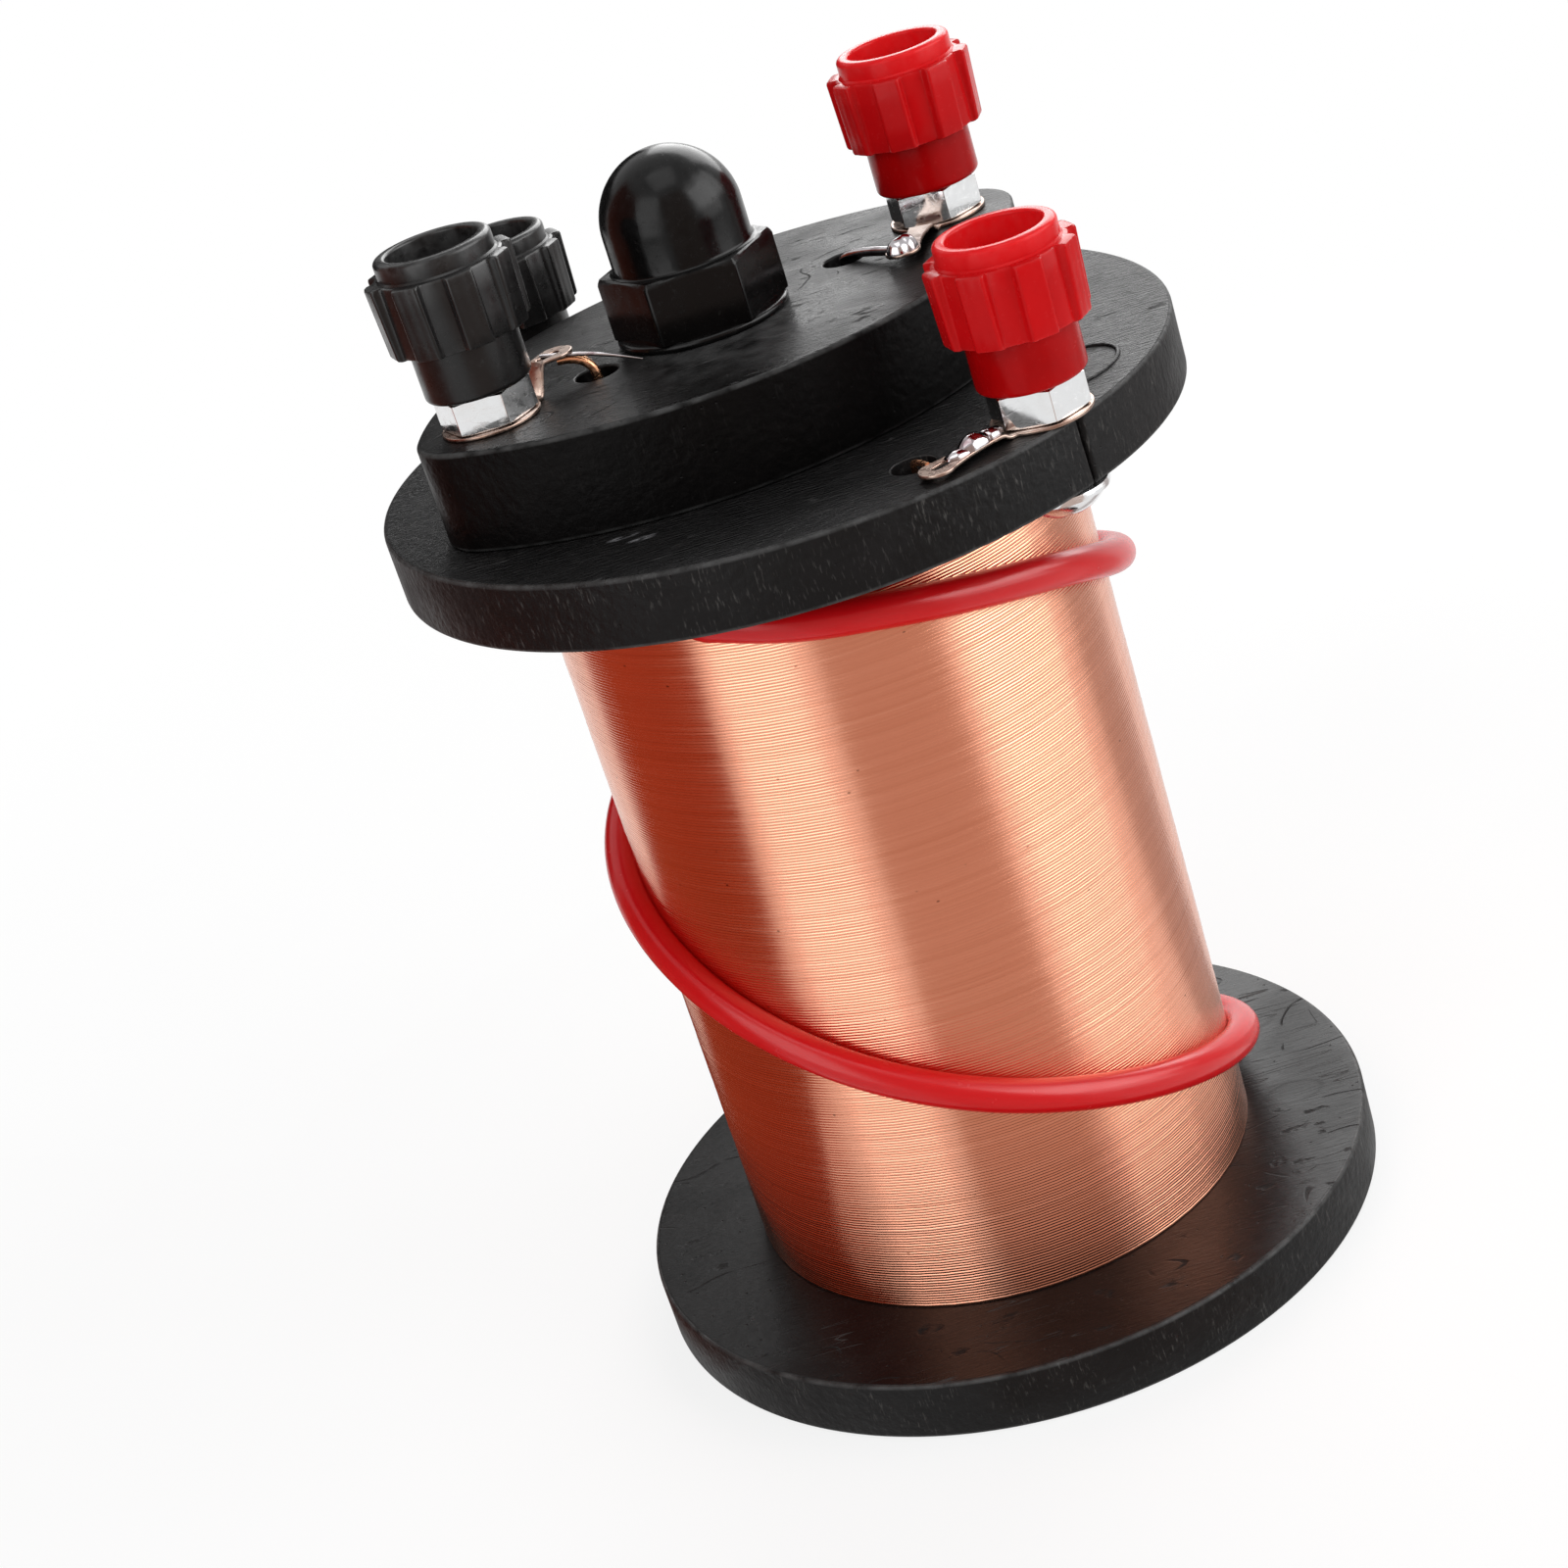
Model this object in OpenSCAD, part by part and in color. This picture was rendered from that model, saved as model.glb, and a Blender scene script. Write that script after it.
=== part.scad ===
// Induction coil for the classroom: an outer coil on a flanged former, an inner coil that lifts out
// of it, an iron core that lifts out of that, and a screw terminal at each end of each winding.
// Millimetres, +Z up the coil's axis, origin at the centre of the underside.

/* [Flanges] */
// Diameter of both flanges
flange_d = 68; // [66:0.5:80]
// Thickness of the base flange
base_t = 5.6; // [4.6:0.1:9]
// Thickness of the top flange
top_t = 5.8; // [4.6:0.1:9]
// Bevel on the edges of the flanges and of the inner coil's plate
edge = 0.3; // [0.2:0.05:0.8]
// Diameter of the hole through the base
base_hole_d = 25; // [16:0.5:28]
// Thickness of the ledge round that hole, which carries the outer coil's tube
ledge_t = 2; // [1:0.1:3]

/* [Outer coil] */
// Height of the winding between the flanges
coil_h = 70.6; // [60:0.2:90]
// Diameter of the bore that takes the inner coil
bore_d = 33; // [32:0.2:34]
// Wall of the outer coil's tube
tube_wall = 1.2; // [0.8:0.1:2]
// Thickness of the winding on that tube
winding_t = 5.7; // [5.2:0.1:6.5]
// Turns of the outer layer, each of which stands for a flat band of the real fine wire
turns = 24; // [12:1:24]
// Width of such a turn along the coil
turn_w = 2.3; // [1:0.05:2.3]
// Thickness of such a turn
turn_t = 0.5; // [0.4:0.05:1]
// Direction in which the outer layer starts under the top flange, in degrees
turn_start_angle = -58; // [-64:1:-20]

/* [Marker wire] */
// Diameter of the red wire laid round the winding
marker_d = 3; // [2.2:0.1:3.2]
// Direction in which it comes out of the top flange, in degrees
marker_start_angle = -118; // [-130:1:-100]
// Direction in which it goes into the base flange, in degrees
marker_end_angle = 388; // [380:1:400]

/* [Inner coil] */
// Distance of the inner coil's plate from the axis along X, as the coil lies loose in the bore
shift_x = -1.7; // [-1.7:0.1:1.7]
// Distance of the inner coil's plate from the axis along Y
shift_y = -0.7; // [-0.7:0.1:0.7]
// Distance of the iron core from the middle of the plate along X
core_off_x = -1.55; // [-1.6:0.05:1.6]
// Distance of the iron core from the middle of the plate along Y
core_off_y = 0; // [-0.5:0.05:0.5]
// Thickness of the top plate
plate_t = 8.5; // [7:0.1:11]
// Width of the plate across its middle
plate_w = 38; // [36:0.5:44]
// Radius of the plate's round ends
plate_end_r = 6.4; // [5.8:0.1:7.5]
// Distance between the two terminals on the plate
plate_posts = 44; // [42:0.5:46]
// Direction of the plate's long axis, in degrees
plate_angle = 25.2; // [15:0.2:35]
// Wall of the inner coil's tube
inner_wall = 1.7; // [1:0.1:2]
// Depth to which that tube is let into the plate
inner_socket = 6; // [3:0.1:6]
// How far the disc at the foot of the inner coil stands out past the inner winding
end_lip = 0.2; // [0.1:0.05:0.6]
// Thickness of that disc
end_flange_t = 2.5; // [1.5:0.1:4]
// Height of the inner coil's foot above the table
foot_z = 4; // [3.2:0.1:8]

/* [Iron core] */
// Diameter of the iron core
core_d = 12; // [10:0.1:12]
// Diameter of the stub that the cap screws on
stub_d = 8; // [5:0.5:8]
// Length of that stub
stub_l = 9; // [6:0.1:10]
// Width of the cap's hexagon across its flats
cap_af = 13; // [13:0.1:14]
// Diameter of the round foot of the cap
cap_foot_d = 14.6; // [14:0.1:15]
// Height of that foot
cap_foot_h = 0.7; // [0.4:0.1:1.5]
// Height of the cap up to the top of its hexagon
cap_hex_h = 5.9; // [5:0.1:7]
// Diameter of the cap's dome
cap_dome_d = 11.8; // [11:0.1:12.4]
// Height of the whole cap
cap_h = 14.9; // [14:0.1:18]

/* [Terminals] */
// Distance of the outer coil's terminals from the edge of the flange
post_inset = 3.4; // [3:0.1:4]
// Direction of the outer coil's red terminal, in degrees
post_angle = -50.9; // [-56:0.1:-46]
// Diameter of the terminal screws
screw_d = 4; // [3:0.1:4]
// Length of the screws above the face that the terminal stands on
screw_l = 8.4; // [7.6:0.1:8.4]
// Diameter of the screw heads
head_d = 7.6; // [6.5:0.1:7.8]
// Height of the screw heads
head_h = 2.5; // [2:0.1:3]
// Thickness of the solder lugs
lug_t = 0.3; // [0.2:0.05:0.5]
// Diameter of the ring of a solder lug
lug_ring_d = 8.2; // [7.6:0.1:8.4]
// Width of the tail of a solder lug
lug_tail_w = 2.6; // [2:0.1:2.8]
// Diameter of the eye at the end of the tail
lug_eye_d = 3; // [2.9:0.1:3.4]
// Width of the slot in that eye
lug_slot_w = 1.4; // [1:0.1:1.6]
// Distance between the centres of the slot's round ends
lug_slot_l = 1; // [0.6:0.1:1.4]
// Distance from the edge of the ring to the bend in a lug
lug_bend_gap = 0.3; // [0.2:0.05:0.4]
// Run of that bend for each millimetre that the lug is bent up
lug_bend_run = 0.3; // [0.2:0.05:0.4]
// Distance from the screw to the eye, on the flange
flange_lug_l = 11.2; // [10.4:0.1:11.4]
// Height by which the lugs on the flange are bent up
flange_lug_h = 0.4; // [0.3:0.05:0.8]
// Direction of the flange lugs from straight outwards, in degrees
flange_lug_angle = -94.3; // [-100:0.1:-94]
// Distance from the screw to the eye of the red lug on the plate
red_lug_l = 11; // [10:0.1:12]
// Height by which the red lug on the plate is bent up
red_lug_h = 0.6; // [0.5:0.05:1]
// Direction of the red lug on the plate from straight outwards, in degrees
red_lug_angle = 221.8; // [214:0.1:226]
// Distance from the screw to the eye of the black lug on the plate
black_lug_l = 7.4; // [7.3:0.1:8]
// Height by which the black lug on the plate is bent up
black_lug_h = 2.4; // [1.8:0.1:2.8]
// Direction of the black lug on the plate from straight outwards, in degrees
black_lug_angle = 188.6; // [182:0.1:196]
// Width of the nuts across their flats
nut_af = 7; // [6.4:0.1:7.5]
// Height of the nuts
nut_h = 2.8; // [2.2:0.1:3.4]

/* [Leads and solder] */
// Diameter of the outer coil's leads
flange_lead_d = 0.5; // [0.3:0.05:0.7]
// Diameter of the inner coil's leads
plate_lead_d = 0.8; // [0.5:0.05:1]
// Diameter of the holes that the leads come up through
lead_hole_d = 3.6; // [3:0.1:4]
// Distance of the flange's lead holes inwards from the eyes of the lugs
flange_hole_inset = 4.4; // [4.2:0.1:5]
// Distance of the plate's lead holes from the plate's centre
plate_hole_r = 12.2; // [11.4:0.1:12.2]
// Depth below the top flange at which a lead leaves the winding
lead_depth = 1.4; // [1.2:0.1:1.5]
// Distance of the flange's solder joints inwards along the lugs from their eyes
flange_solder_inset = 4; // [3.6:0.1:4.4]
// Height of a solder joint on its lug
solder_h = 1.2; // [1:0.1:1.6]
// Diameter of a solder joint where it meets its lug
solder_d = 2.8; // [2.4:0.1:3]

/* [Knobs] */
// Height of a knob
knob_h = 11.9; // [11:0.1:15]
// Diameter of the knob's collar
collar_d = 9.6; // [9.2:0.1:10]
// Diameter of the knob's foot
sleeve_d = 8.8; // [8.4:0.1:9.2]
// Diameter over the ribs at their top
rib_d = 12; // [11.2:0.1:12.4]
// Number of ribs
ribs = 8; // [6:1:10]
// Height of a rib's lower end over the drum between the ribs
rib_h = 0.4; // [0.3:0.05:0.5]
// How far that drum stops short of the ribs' ends
drum_step = 0.2; // [0.1:0.05:0.4]
// Width of a rib
rib_w = 2.3; // [1.4:0.1:2.6]
// Height of the ribs' lower ends above the knob's foot
rib_z0 = 4.3; // [3:0.1:5]
// Height of the ribs' upper ends above the knob's foot
rib_z1 = 10.3; // [9:0.1:10.6]
// How far the ribs lean in towards their lower ends
rib_lean = 0.25; // [0:0.05:0.4]
// Rounding of the knob's rim
rim = 0.4; // [0.2:0.05:0.5]
// Diameter of the cup in the knob's top
cup_d = 7.5; // [7:0.1:7.8]
// Depth of that cup
cup_depth = 6; // [4.5:0.1:6]
// Diameter of the brass insert
insert_d = 6.2; // [5.6:0.1:6.6]
// Height of the brass insert
insert_h = 4.8; // [4:0.1:4.8]

/* [Clearances] */
// Gap round glued and screwed pieces
glue_gap = 0.05; // [0.02:0.01:0.08]
// Running clearance of threads and of a knob on its insert, on the radius
thread_gap = 0.05; // [0.02:0.01:0.1]
// Gap between the foot of the inner coil and the bore, where the two lie nearest
slide_gap = 0.25; // [0.2:0.05:0.4]
// Gap round the iron core
core_gap = 0.3; // [0.2:0.05:0.4]
// Gap round screws in drilled holes
drill_gap = 0.15; // [0.1:0.05:0.3]
// Gap between a wound wire and what it lies on
lay_gap = 0.1; // [0.05:0.01:0.2]
// Gap round and behind the screw heads sunk in the plate
sink_gap = 0.4; // [0.3:0.05:0.6]

/* [Hidden] */
$fn = 96;
// Sides of the wide arcs along the plate
flank_sides = 360;
// Overshoot of a cut past the face it opens
cut = 1;

// Levels up the axis
z_coil0 = base_t;
z_coil1 = base_t + coil_h;
z_flange = z_coil1 + top_t;
z_plate = z_flange + plate_t;

// The outer coil
tube_r = bore_d / 2 + tube_wall;
winding_r = tube_r + winding_t;
// A ring every 15 degrees leaves the middle of each straight inside the true circle
loop_rings = 24;
wire_sides = 6;
sag = winding_r * (1 - cos(180 / loop_rings));
turn_path_r = winding_r - turn_t / 2;
winding_core_r = winding_r - turn_t - sag - lay_gap;
marker_path_r = winding_r + marker_d / 2 + lay_gap;
// Wire ends turn upright on a bend and stand in blind holes in the flanges
bend = 0.9;
end_up = 0.2;
bend_steps = 5;
turn_bend_r = turn_w * bend;
marker_bend_r = marker_d * bend;

// The inner coil
shift = [shift_x, shift_y, 0];
inner_axis = shift + [core_off_x, core_off_y, 0];
core_r = core_d / 2;
core_hole_r = core_r + core_gap;
inner_tube_r = core_hole_r + inner_wall;
end_flange_r = bore_d / 2 - norm(inner_axis) - slide_gap;
inner_winding_r = end_flange_r - end_lip;
// Each flank of the plate is an arc that runs into the round ends without a corner
plate_half = plate_posts / 2;
plate_flank_r = (pow(plate_half, 2) + pow(plate_w / 2, 2) - pow(plate_end_r, 2))
  / (plate_w - 2 * plate_end_r);
plate_flank_y = plate_flank_r - plate_w / 2;
plate_clip_x = plate_half * plate_flank_r / (plate_flank_r - plate_end_r);

// The terminals, red ones first: place, level and outward direction of each
post_r = flange_d / 2 - post_inset;
flange_posts = [for (i = [0, 1]) [post_r, post_angle + 180 * i]];
plate_dirs = [plate_angle, plate_angle + 180];
plate_lug_angles = [red_lug_angle, black_lug_angle];
plate_lug_ls = [red_lug_l, black_lug_l];
plate_lug_hs = [red_lug_h, black_lug_h];
stack_h = lug_t + nut_h;
screw_hole_r = screw_d / 2 + drill_gap;
function polar(r, a) = [r * cos(a), r * sin(a), 0];
function up(z) = [0, 0, z];
function flange_post(i) = polar(flange_posts[i][0], flange_posts[i][1]) + up(z_flange);
function plate_post(i) = shift + polar(plate_half, plate_dirs[i]) + up(z_plate);
function flange_lug_dir(i) = flange_posts[i][1] + flange_lug_angle;
function plate_lug_dir(i) = plate_dirs[i] + plate_lug_angles[i];
function flange_on_lug(i, r) = flange_post(i) + polar(r, flange_lug_dir(i)) + up(flange_lug_h);
function flange_eye(i) = flange_on_lug(i, flange_lug_l);
function plate_eye(i) = plate_post(i) + polar(plate_lug_ls[i], plate_lug_dir(i))
  + up(plate_lug_hs[i]);
function heading(p) = atan2(p[1], p[0]);
function flange_hole(i) = polar(norm([flange_eye(i)[0], flange_eye(i)[1]]) - flange_hole_inset,
  heading(flange_eye(i)));
function plate_hole(i) = shift + polar(plate_hole_r, plate_dirs[i]);

// Phase of each knob's ribs, in degrees
knob_turns = [12.5, 17.5, 27.5, 17.5];

// Colours
flange_black = "#1d1c1d";
copper = "#c8764c";
enamel = "#b8653a";
red = "#c8141c";
black = "#161516";
steel = "#b9bbbf";
tinned = "#c9b69a";
paper = "#b79a72";

// Tube round a path, this thick along the reference direction of each point and this wide across it
function tangent(p, i) = let (a = p[max(i - 1, 0)], b = p[min(i + 1, len(p) - 1)]) (b - a) / norm(b - a);
function square_to(v, t) = let (w = v - (v * t) * t) w / norm(w);
function ring(c, n, b, sides) = [for (k = [0 : sides - 1]) let (q = (k + 0.5) * 360 / sides)
  c + cos(q) * n + sin(q) * b];
function tube_rings(p, ref, thick, wide, sides) = [for (i = [0 : len(p) - 1])
  let (t = tangent(p, i), n = square_to(ref[i], t), b = cross(t, n))
  ring(p[i], n * thick / 2, b * wide / 2, sides)];
module tube(p, ref, thick, wide, sides) {
  rings = tube_rings(p, ref, thick, wide, sides);
  last = (len(p) - 1) * sides;
  walls = [for (i = [0 : len(p) - 2], k = [0 : sides - 1])
    let (a = i * sides + k, b = i * sides + (k + 1) % sides)
    each [[a, a + sides, b], [b, a + sides, b + sides]]];
  caps = [for (k = [1 : sides - 2]) each [[0, k, k + 1], [last, last + k + 1, last + k]]];
  polyhedron([for (r = rings) each r], concat(walls, caps));
}

// Least gap from a wound wire to itself, measured between points half a turn to two turns apart
function least_gap(p, d) = min([for (i = [0 : len(p) - 1], j = [i + loop_rings / 2 : i + 2 * loop_rings])
  if (j < len(p)) norm(p[i] - p[j])]) - d;

// A wire wound on a cylinder runs through [direction, height] pairs: upright out of the top flange,
// round a bend, along its turns, round a bend, and upright into the base flange
function arc_deg(length, r) = length / r * 180 / PI;
function bend_pairs(a, side, r, bend_r, z, rise) = [for (k = [0 : bend_steps - 1])
  let (q = 90 * k / bend_steps)
  [a + side * arc_deg(bend_r * (1 - cos(q)), r), z + rise * bend_r * sin(q)]];
function reversed(list) = [for (i = [len(list) - 1 : -1 : 0]) list[i]];
function wound(a0, a1, d, r, bend_r, run) = concat(
  [[a0, z_coil1 + d]],
  bend_pairs(a0, 1, r, bend_r, z_coil1 - end_up, -1),
  run,
  reversed(bend_pairs(a1, -1, r, bend_r, z_coil0 + end_up, 1)),
  [[a1, z_coil0 - d]]);
function on_cylinder(run, r) = [for (q = run) polar(r, q[0]) + up(q[1])];
function outwards(run) = [for (q = run) polar(1, q[0])];

// The outer layer falls steadily from one flange to the other
turn_z0 = z_coil1 - end_up - turn_bend_r;
turn_z1 = z_coil0 + end_up + turn_bend_r;
turn_lead = arc_deg(turn_bend_r, turn_path_r);
turn_end = turn_start_angle + 360 * turns;
turn_a0 = turn_start_angle + turn_lead;
turn_a1 = turn_end - turn_lead;
turn_rings = turns * loop_rings;
turn_run = [for (k = [0 : turn_rings]) let (f = k / turn_rings)
  [turn_a0 + f * (turn_a1 - turn_a0), turn_z0 + f * (turn_z1 - turn_z0)]];
turn_path = wound(turn_start_angle, turn_end, turn_w, turn_path_r, turn_bend_r, turn_run);

// The red wire is laid by hand: it falls steeply across the front of the coil and slightly behind it.
// Each pair is a direction in degrees and a share of the winding's height
marker_route = [[-90, 0.93], [-60, 0.905], [-30, 0.84], [0, 0.76], [45, 0.71], [90, 0.675],
  [135, 0.63], [180, 0.565], [210, 0.49], [240, 0.38], [270, 0.3], [300, 0.22], [330, 0.155],
  [355, 0.095]];
marker_lead = arc_deg(marker_bend_r, marker_path_r);
marker_a0 = marker_start_angle + marker_lead;
marker_a1 = marker_end_angle - marker_lead;
marker_drop = (end_up + marker_bend_r) / coil_h;
marker_table = concat([[marker_a0, 1 - marker_drop]], marker_route, [[marker_a1, marker_drop]]);
// Averaging over this many degrees to each side rounds the corners between those pairs
marker_window = 30;
marker_ease = [for (k = [-3 : 3]) k / 3];
function marker_share(a) = let (w = min(marker_window, a - marker_a0, marker_a1 - a))
  [for (e = marker_ease) lookup(a + w * e, marker_table)] * [for (e = marker_ease) 1 / len(marker_ease)];
marker_rings = ceil((marker_a1 - marker_a0) / 360 * loop_rings);
marker_run = [for (k = [0 : marker_rings]) let (a = marker_a0 + k / marker_rings * (marker_a1 - marker_a0))
  [a, z_coil0 + coil_h * marker_share(a)]];
marker_path = wound(marker_start_angle, marker_end_angle, marker_d, marker_path_r, marker_bend_r, marker_run);

// Turned pieces
module drill(p, r, z0, z1) {
  translate([p[0], p[1], z0]) cylinder(r = r, h = z1 - z0);
}
module disc(d, t) {
  r = d / 2;
  rotate_extrude()
    polygon([[0, 0], [r - edge, 0], [r, edge], [r, t - edge], [r - edge, t], [0, t]]);
}
module pipe(r0, r1, z0, z1) {
  translate(up(z0)) difference() {
    cylinder(r = r1, h = z1 - z0);
    translate(up(-cut)) cylinder(r = r0, h = z1 - z0 + 2 * cut);
  }
}
module hexagon(af, h) {
  cylinder(r = af / 2 / cos(30), h = h, $fn = 6);
}

// Terminal hardware, standing on z = 0 at the origin
module pan_screw(down) {
  translate(up(-down)) cylinder(r = screw_d / 2, h = down + screw_l);
  dome_r = (pow(head_d / 2, 2) + pow(head_h, 2)) / (2 * head_h);
  translate(up(-down)) intersection() {
    translate(up(dome_r - head_h)) sphere(r = dome_r);
    translate(up(-head_h)) cylinder(r = head_d / 2, h = head_h);
  }
}
module nut() {
  bevel = nut_af / 2 * (1 / cos(30) - 1);
  r = nut_af / 2 / cos(30);
  translate(up(lug_t)) difference() {
    intersection() {
      hexagon(nut_af, nut_h);
      rotate_extrude()
        polygon([[0, 0], [r - bevel, 0], [r, bevel / 2], [r, nut_h - bevel / 2], [r - bevel, nut_h],
          [0, nut_h]]);
    }
    translate(up(-cut)) cylinder(r = screw_d / 2 + thread_gap, h = nut_h + 2 * cut);
  }
}
// Solder lug along +X: a ring, a strip that rises by lift, and an eye with a slot
module lug(reach, lift) {
  rise0 = lug_ring_d / 2 + lug_bend_gap;
  rise1 = rise0 + lift * lug_bend_run + lug_t;
  difference() {
    union() {
      cylinder(r = lug_ring_d / 2, h = lug_t);
      rotate([90, 0, 0]) translate(up(-lug_tail_w / 2)) linear_extrude(lug_tail_w)
        polygon([[0, 0], [rise0, 0], [rise1, lift], [reach, lift], [reach, lift + lug_t],
          [rise1 - lug_t / 2, lift + lug_t], [rise0 - lug_t / 2, lug_t], [0, lug_t]]);
      translate([reach, 0, lift]) cylinder(r = lug_eye_d / 2, h = lug_t);
    }
    translate(up(-cut)) cylinder(r = screw_hole_r, h = lug_t + 2 * cut);
    for (x = [0, lug_slot_l])
      translate([reach - x, 0, lift - cut]) cylinder(r = lug_slot_w / 2, h = lug_t + 2 * cut);
    translate([reach - lug_slot_l, -lug_slot_w / 2, lift - cut])
      cube([lug_slot_l, lug_slot_w, lug_t + 2 * cut]);
  }
}
module solder() {
  ball_r = (pow(solder_d / 2, 2) + pow(solder_h, 2)) / (2 * solder_h);
  intersection() {
    translate(up(solder_h - ball_r)) sphere(r = ball_r);
    cylinder(r = solder_d, h = solder_h);
  }
}

// A lead stands upright in its hole and bends over to its tip, at the edge of its lug's eye or,
// where the lug is bent well up, under the eye
lead_sides = 8;
lead_steps = 6;
lead_bend_r = 0.9;
function flat(v) = [v[0], v[1], 0];
function beside(eye, hole) = let (back = flat(hole) - flat(eye))
  eye + back / norm(back) * (lug_eye_d / 2 + glue_gap) + up(lug_t / 2);
function below(eye, d) = eye - up(d / 2 + glue_gap);
function lead_top(hole, tip, z) = let (over = flat(tip) - flat(hole), rise = tip[2] - z)
  [for (k = [0 : lead_steps]) let (q = 90 * k / lead_steps)
    flat(hole) + over * (1 - cos(q)) + up(z + rise * sin(q))];
function flange_lead(i) = let (hole = flange_hole(i), out = hole / norm(hole), z = z_coil1 - lead_depth)
  concat(
    [out * (winding_core_r + lay_gap) + up(z)],
    [for (k = [0 : lead_steps]) let (q = 90 * k / lead_steps)
      hole - out * lead_bend_r * (1 - sin(q)) + up(z + lead_bend_r * (1 - cos(q)))],
    lead_top(hole, beside(flange_eye(i), hole), z_flange));
plate_tips = [beside(plate_eye(0), plate_hole(0)), below(plate_eye(1), plate_lead_d)];
function plate_lead(i) = concat(
  [plate_hole(i) + up(z_flange)],
  lead_top(plate_hole(i), plate_tips[i], z_plate));
module lead(p, hole, eye, d) {
  across = cross(flat(eye) - flat(hole), up(1));
  tube(p, [for (q = p) across], d, d, lead_sides);
}

// Knob standing on z = 0: a ribbed cup on a foot, with a pocket for its insert
pocket_h = insert_h + 2 * thread_gap;
module knob_body() {
  foot_bevel = rim / 2;
  c = collar_d / 2;
  d = rib_d / 2 - rib_lean - rib_h;
  f = sleeve_d / 2;
  z0 = rib_z0 + drum_step;
  z1 = rib_z1 - drum_step;
  rotate_extrude()
    polygon(concat(
      [[0, 0], [f - foot_bevel, 0], [f, foot_bevel], [f, z0], [d, z0], [d, z1], [c, z1]],
      [for (q = [0 : 15 : 90]) [c - rim + rim * cos(q), knob_h - rim + rim * sin(q)]],
      [[0, knob_h]]));
}
// Each rib starts in the middle of the cup's wall
module knob_ribs() {
  r = rib_d / 2;
  root = (cup_d + sleeve_d) / 4;
  intersection() {
    translate(up(rib_z0)) cylinder(r1 = r - rib_lean, r2 = r, h = rib_z1 - rib_z0);
    for (i = [0 : ribs - 1])
      rotate(i * 360 / ribs) translate([root, -rib_w / 2, rib_z0]) cube([r, rib_w, rib_z1 - rib_z0]);
  }
}
module knob(turn) {
  rotate(turn) difference() {
    union() {
      knob_body();
      knob_ribs();
    }
    translate(up(knob_h - cup_depth)) cylinder(r = cup_d / 2, h = cup_depth + cut);
    translate(up(-cut)) cylinder(r = insert_d / 2 + thread_gap, h = pocket_h + cut);
    translate(up(-cut)) cylinder(r = screw_hole_r + thread_gap, h = knob_h);
  }
}
module insert() {
  translate(up(thread_gap)) pipe(screw_d / 2 + thread_gap, insert_d / 2, 0, insert_h);
}

// The outer coil
module wire_end_holes(z0, z1, end_turn, end_marker) {
  drill(polar(turn_path_r, end_turn), turn_w / 2 + lay_gap, z0[0], z1[0]);
  drill(polar(marker_path_r, end_marker), marker_d / 2 + lay_gap, z0[1], z1[1]);
}
module base_flange() color(flange_black) difference() {
  disc(flange_d, base_t);
  drill([0, 0], base_hole_d / 2, -cut, base_t + cut);
  drill([0, 0], tube_r + glue_gap, ledge_t, base_t + cut);
  wire_end_holes([z_coil0 - turn_w, z_coil0 - marker_d], [base_t + cut, base_t + cut],
    turn_end, marker_end_angle);
}
module top_flange() color(flange_black) difference() {
  translate(up(z_coil1)) disc(flange_d, top_t);
  drill([0, 0], tube_r + glue_gap, z_coil1 - cut, z_flange + cut);
  wire_end_holes([z_coil1 - cut, z_coil1 - cut], [z_coil1 + turn_w, z_coil1 + marker_d],
    turn_start_angle, marker_start_angle);
  for (i = [0, 1]) {
    drill(flange_post(i), screw_hole_r, z_coil1 - cut, z_flange + cut);
    drill(flange_hole(i), lead_hole_d / 2, z_coil1 - cut, z_flange + cut);
  }
}
module secondary_tube() color(paper) pipe(bore_d / 2, tube_r, ledge_t, z_flange);
module secondary_winding() color(enamel) pipe(tube_r + glue_gap, winding_core_r, z_coil0, z_coil1);
module secondary_turns() {
  path = on_cylinder(turn_path, turn_path_r);
  echo(str("least gap of the outer layer to itself: ", least_gap(path, turn_w), " mm"));
  color(copper) tube(path, outwards(turn_path), turn_t, turn_w, wire_sides);
}
module marker_wire() {
  path = on_cylinder(marker_path, marker_path_r);
  echo(str("least gap of the red wire to itself: ", least_gap(path, marker_d), " mm"));
  color(red) tube(path, outwards(marker_path), marker_d, marker_d, wire_sides);
}
module at_flange_posts() for (i = [0, 1]) translate(flange_post(i)) children();
module secondary_screws() color(steel) at_flange_posts() pan_screw(top_t);
module secondary_lugs() color(tinned) for (i = [0, 1])
  translate(flange_post(i)) rotate(flange_lug_dir(i)) lug(flange_lug_l, flange_lug_h);
module secondary_nuts() color(steel) at_flange_posts() nut();
module secondary_leads() color(copper) for (i = [0, 1])
  lead(flange_lead(i), flange_hole(i), flange_eye(i), flange_lead_d);
module secondary_solder() color(steel) for (i = [0, 1])
  translate(flange_on_lug(i, flange_lug_l - flange_solder_inset) + up(lug_t)) solder();

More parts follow.
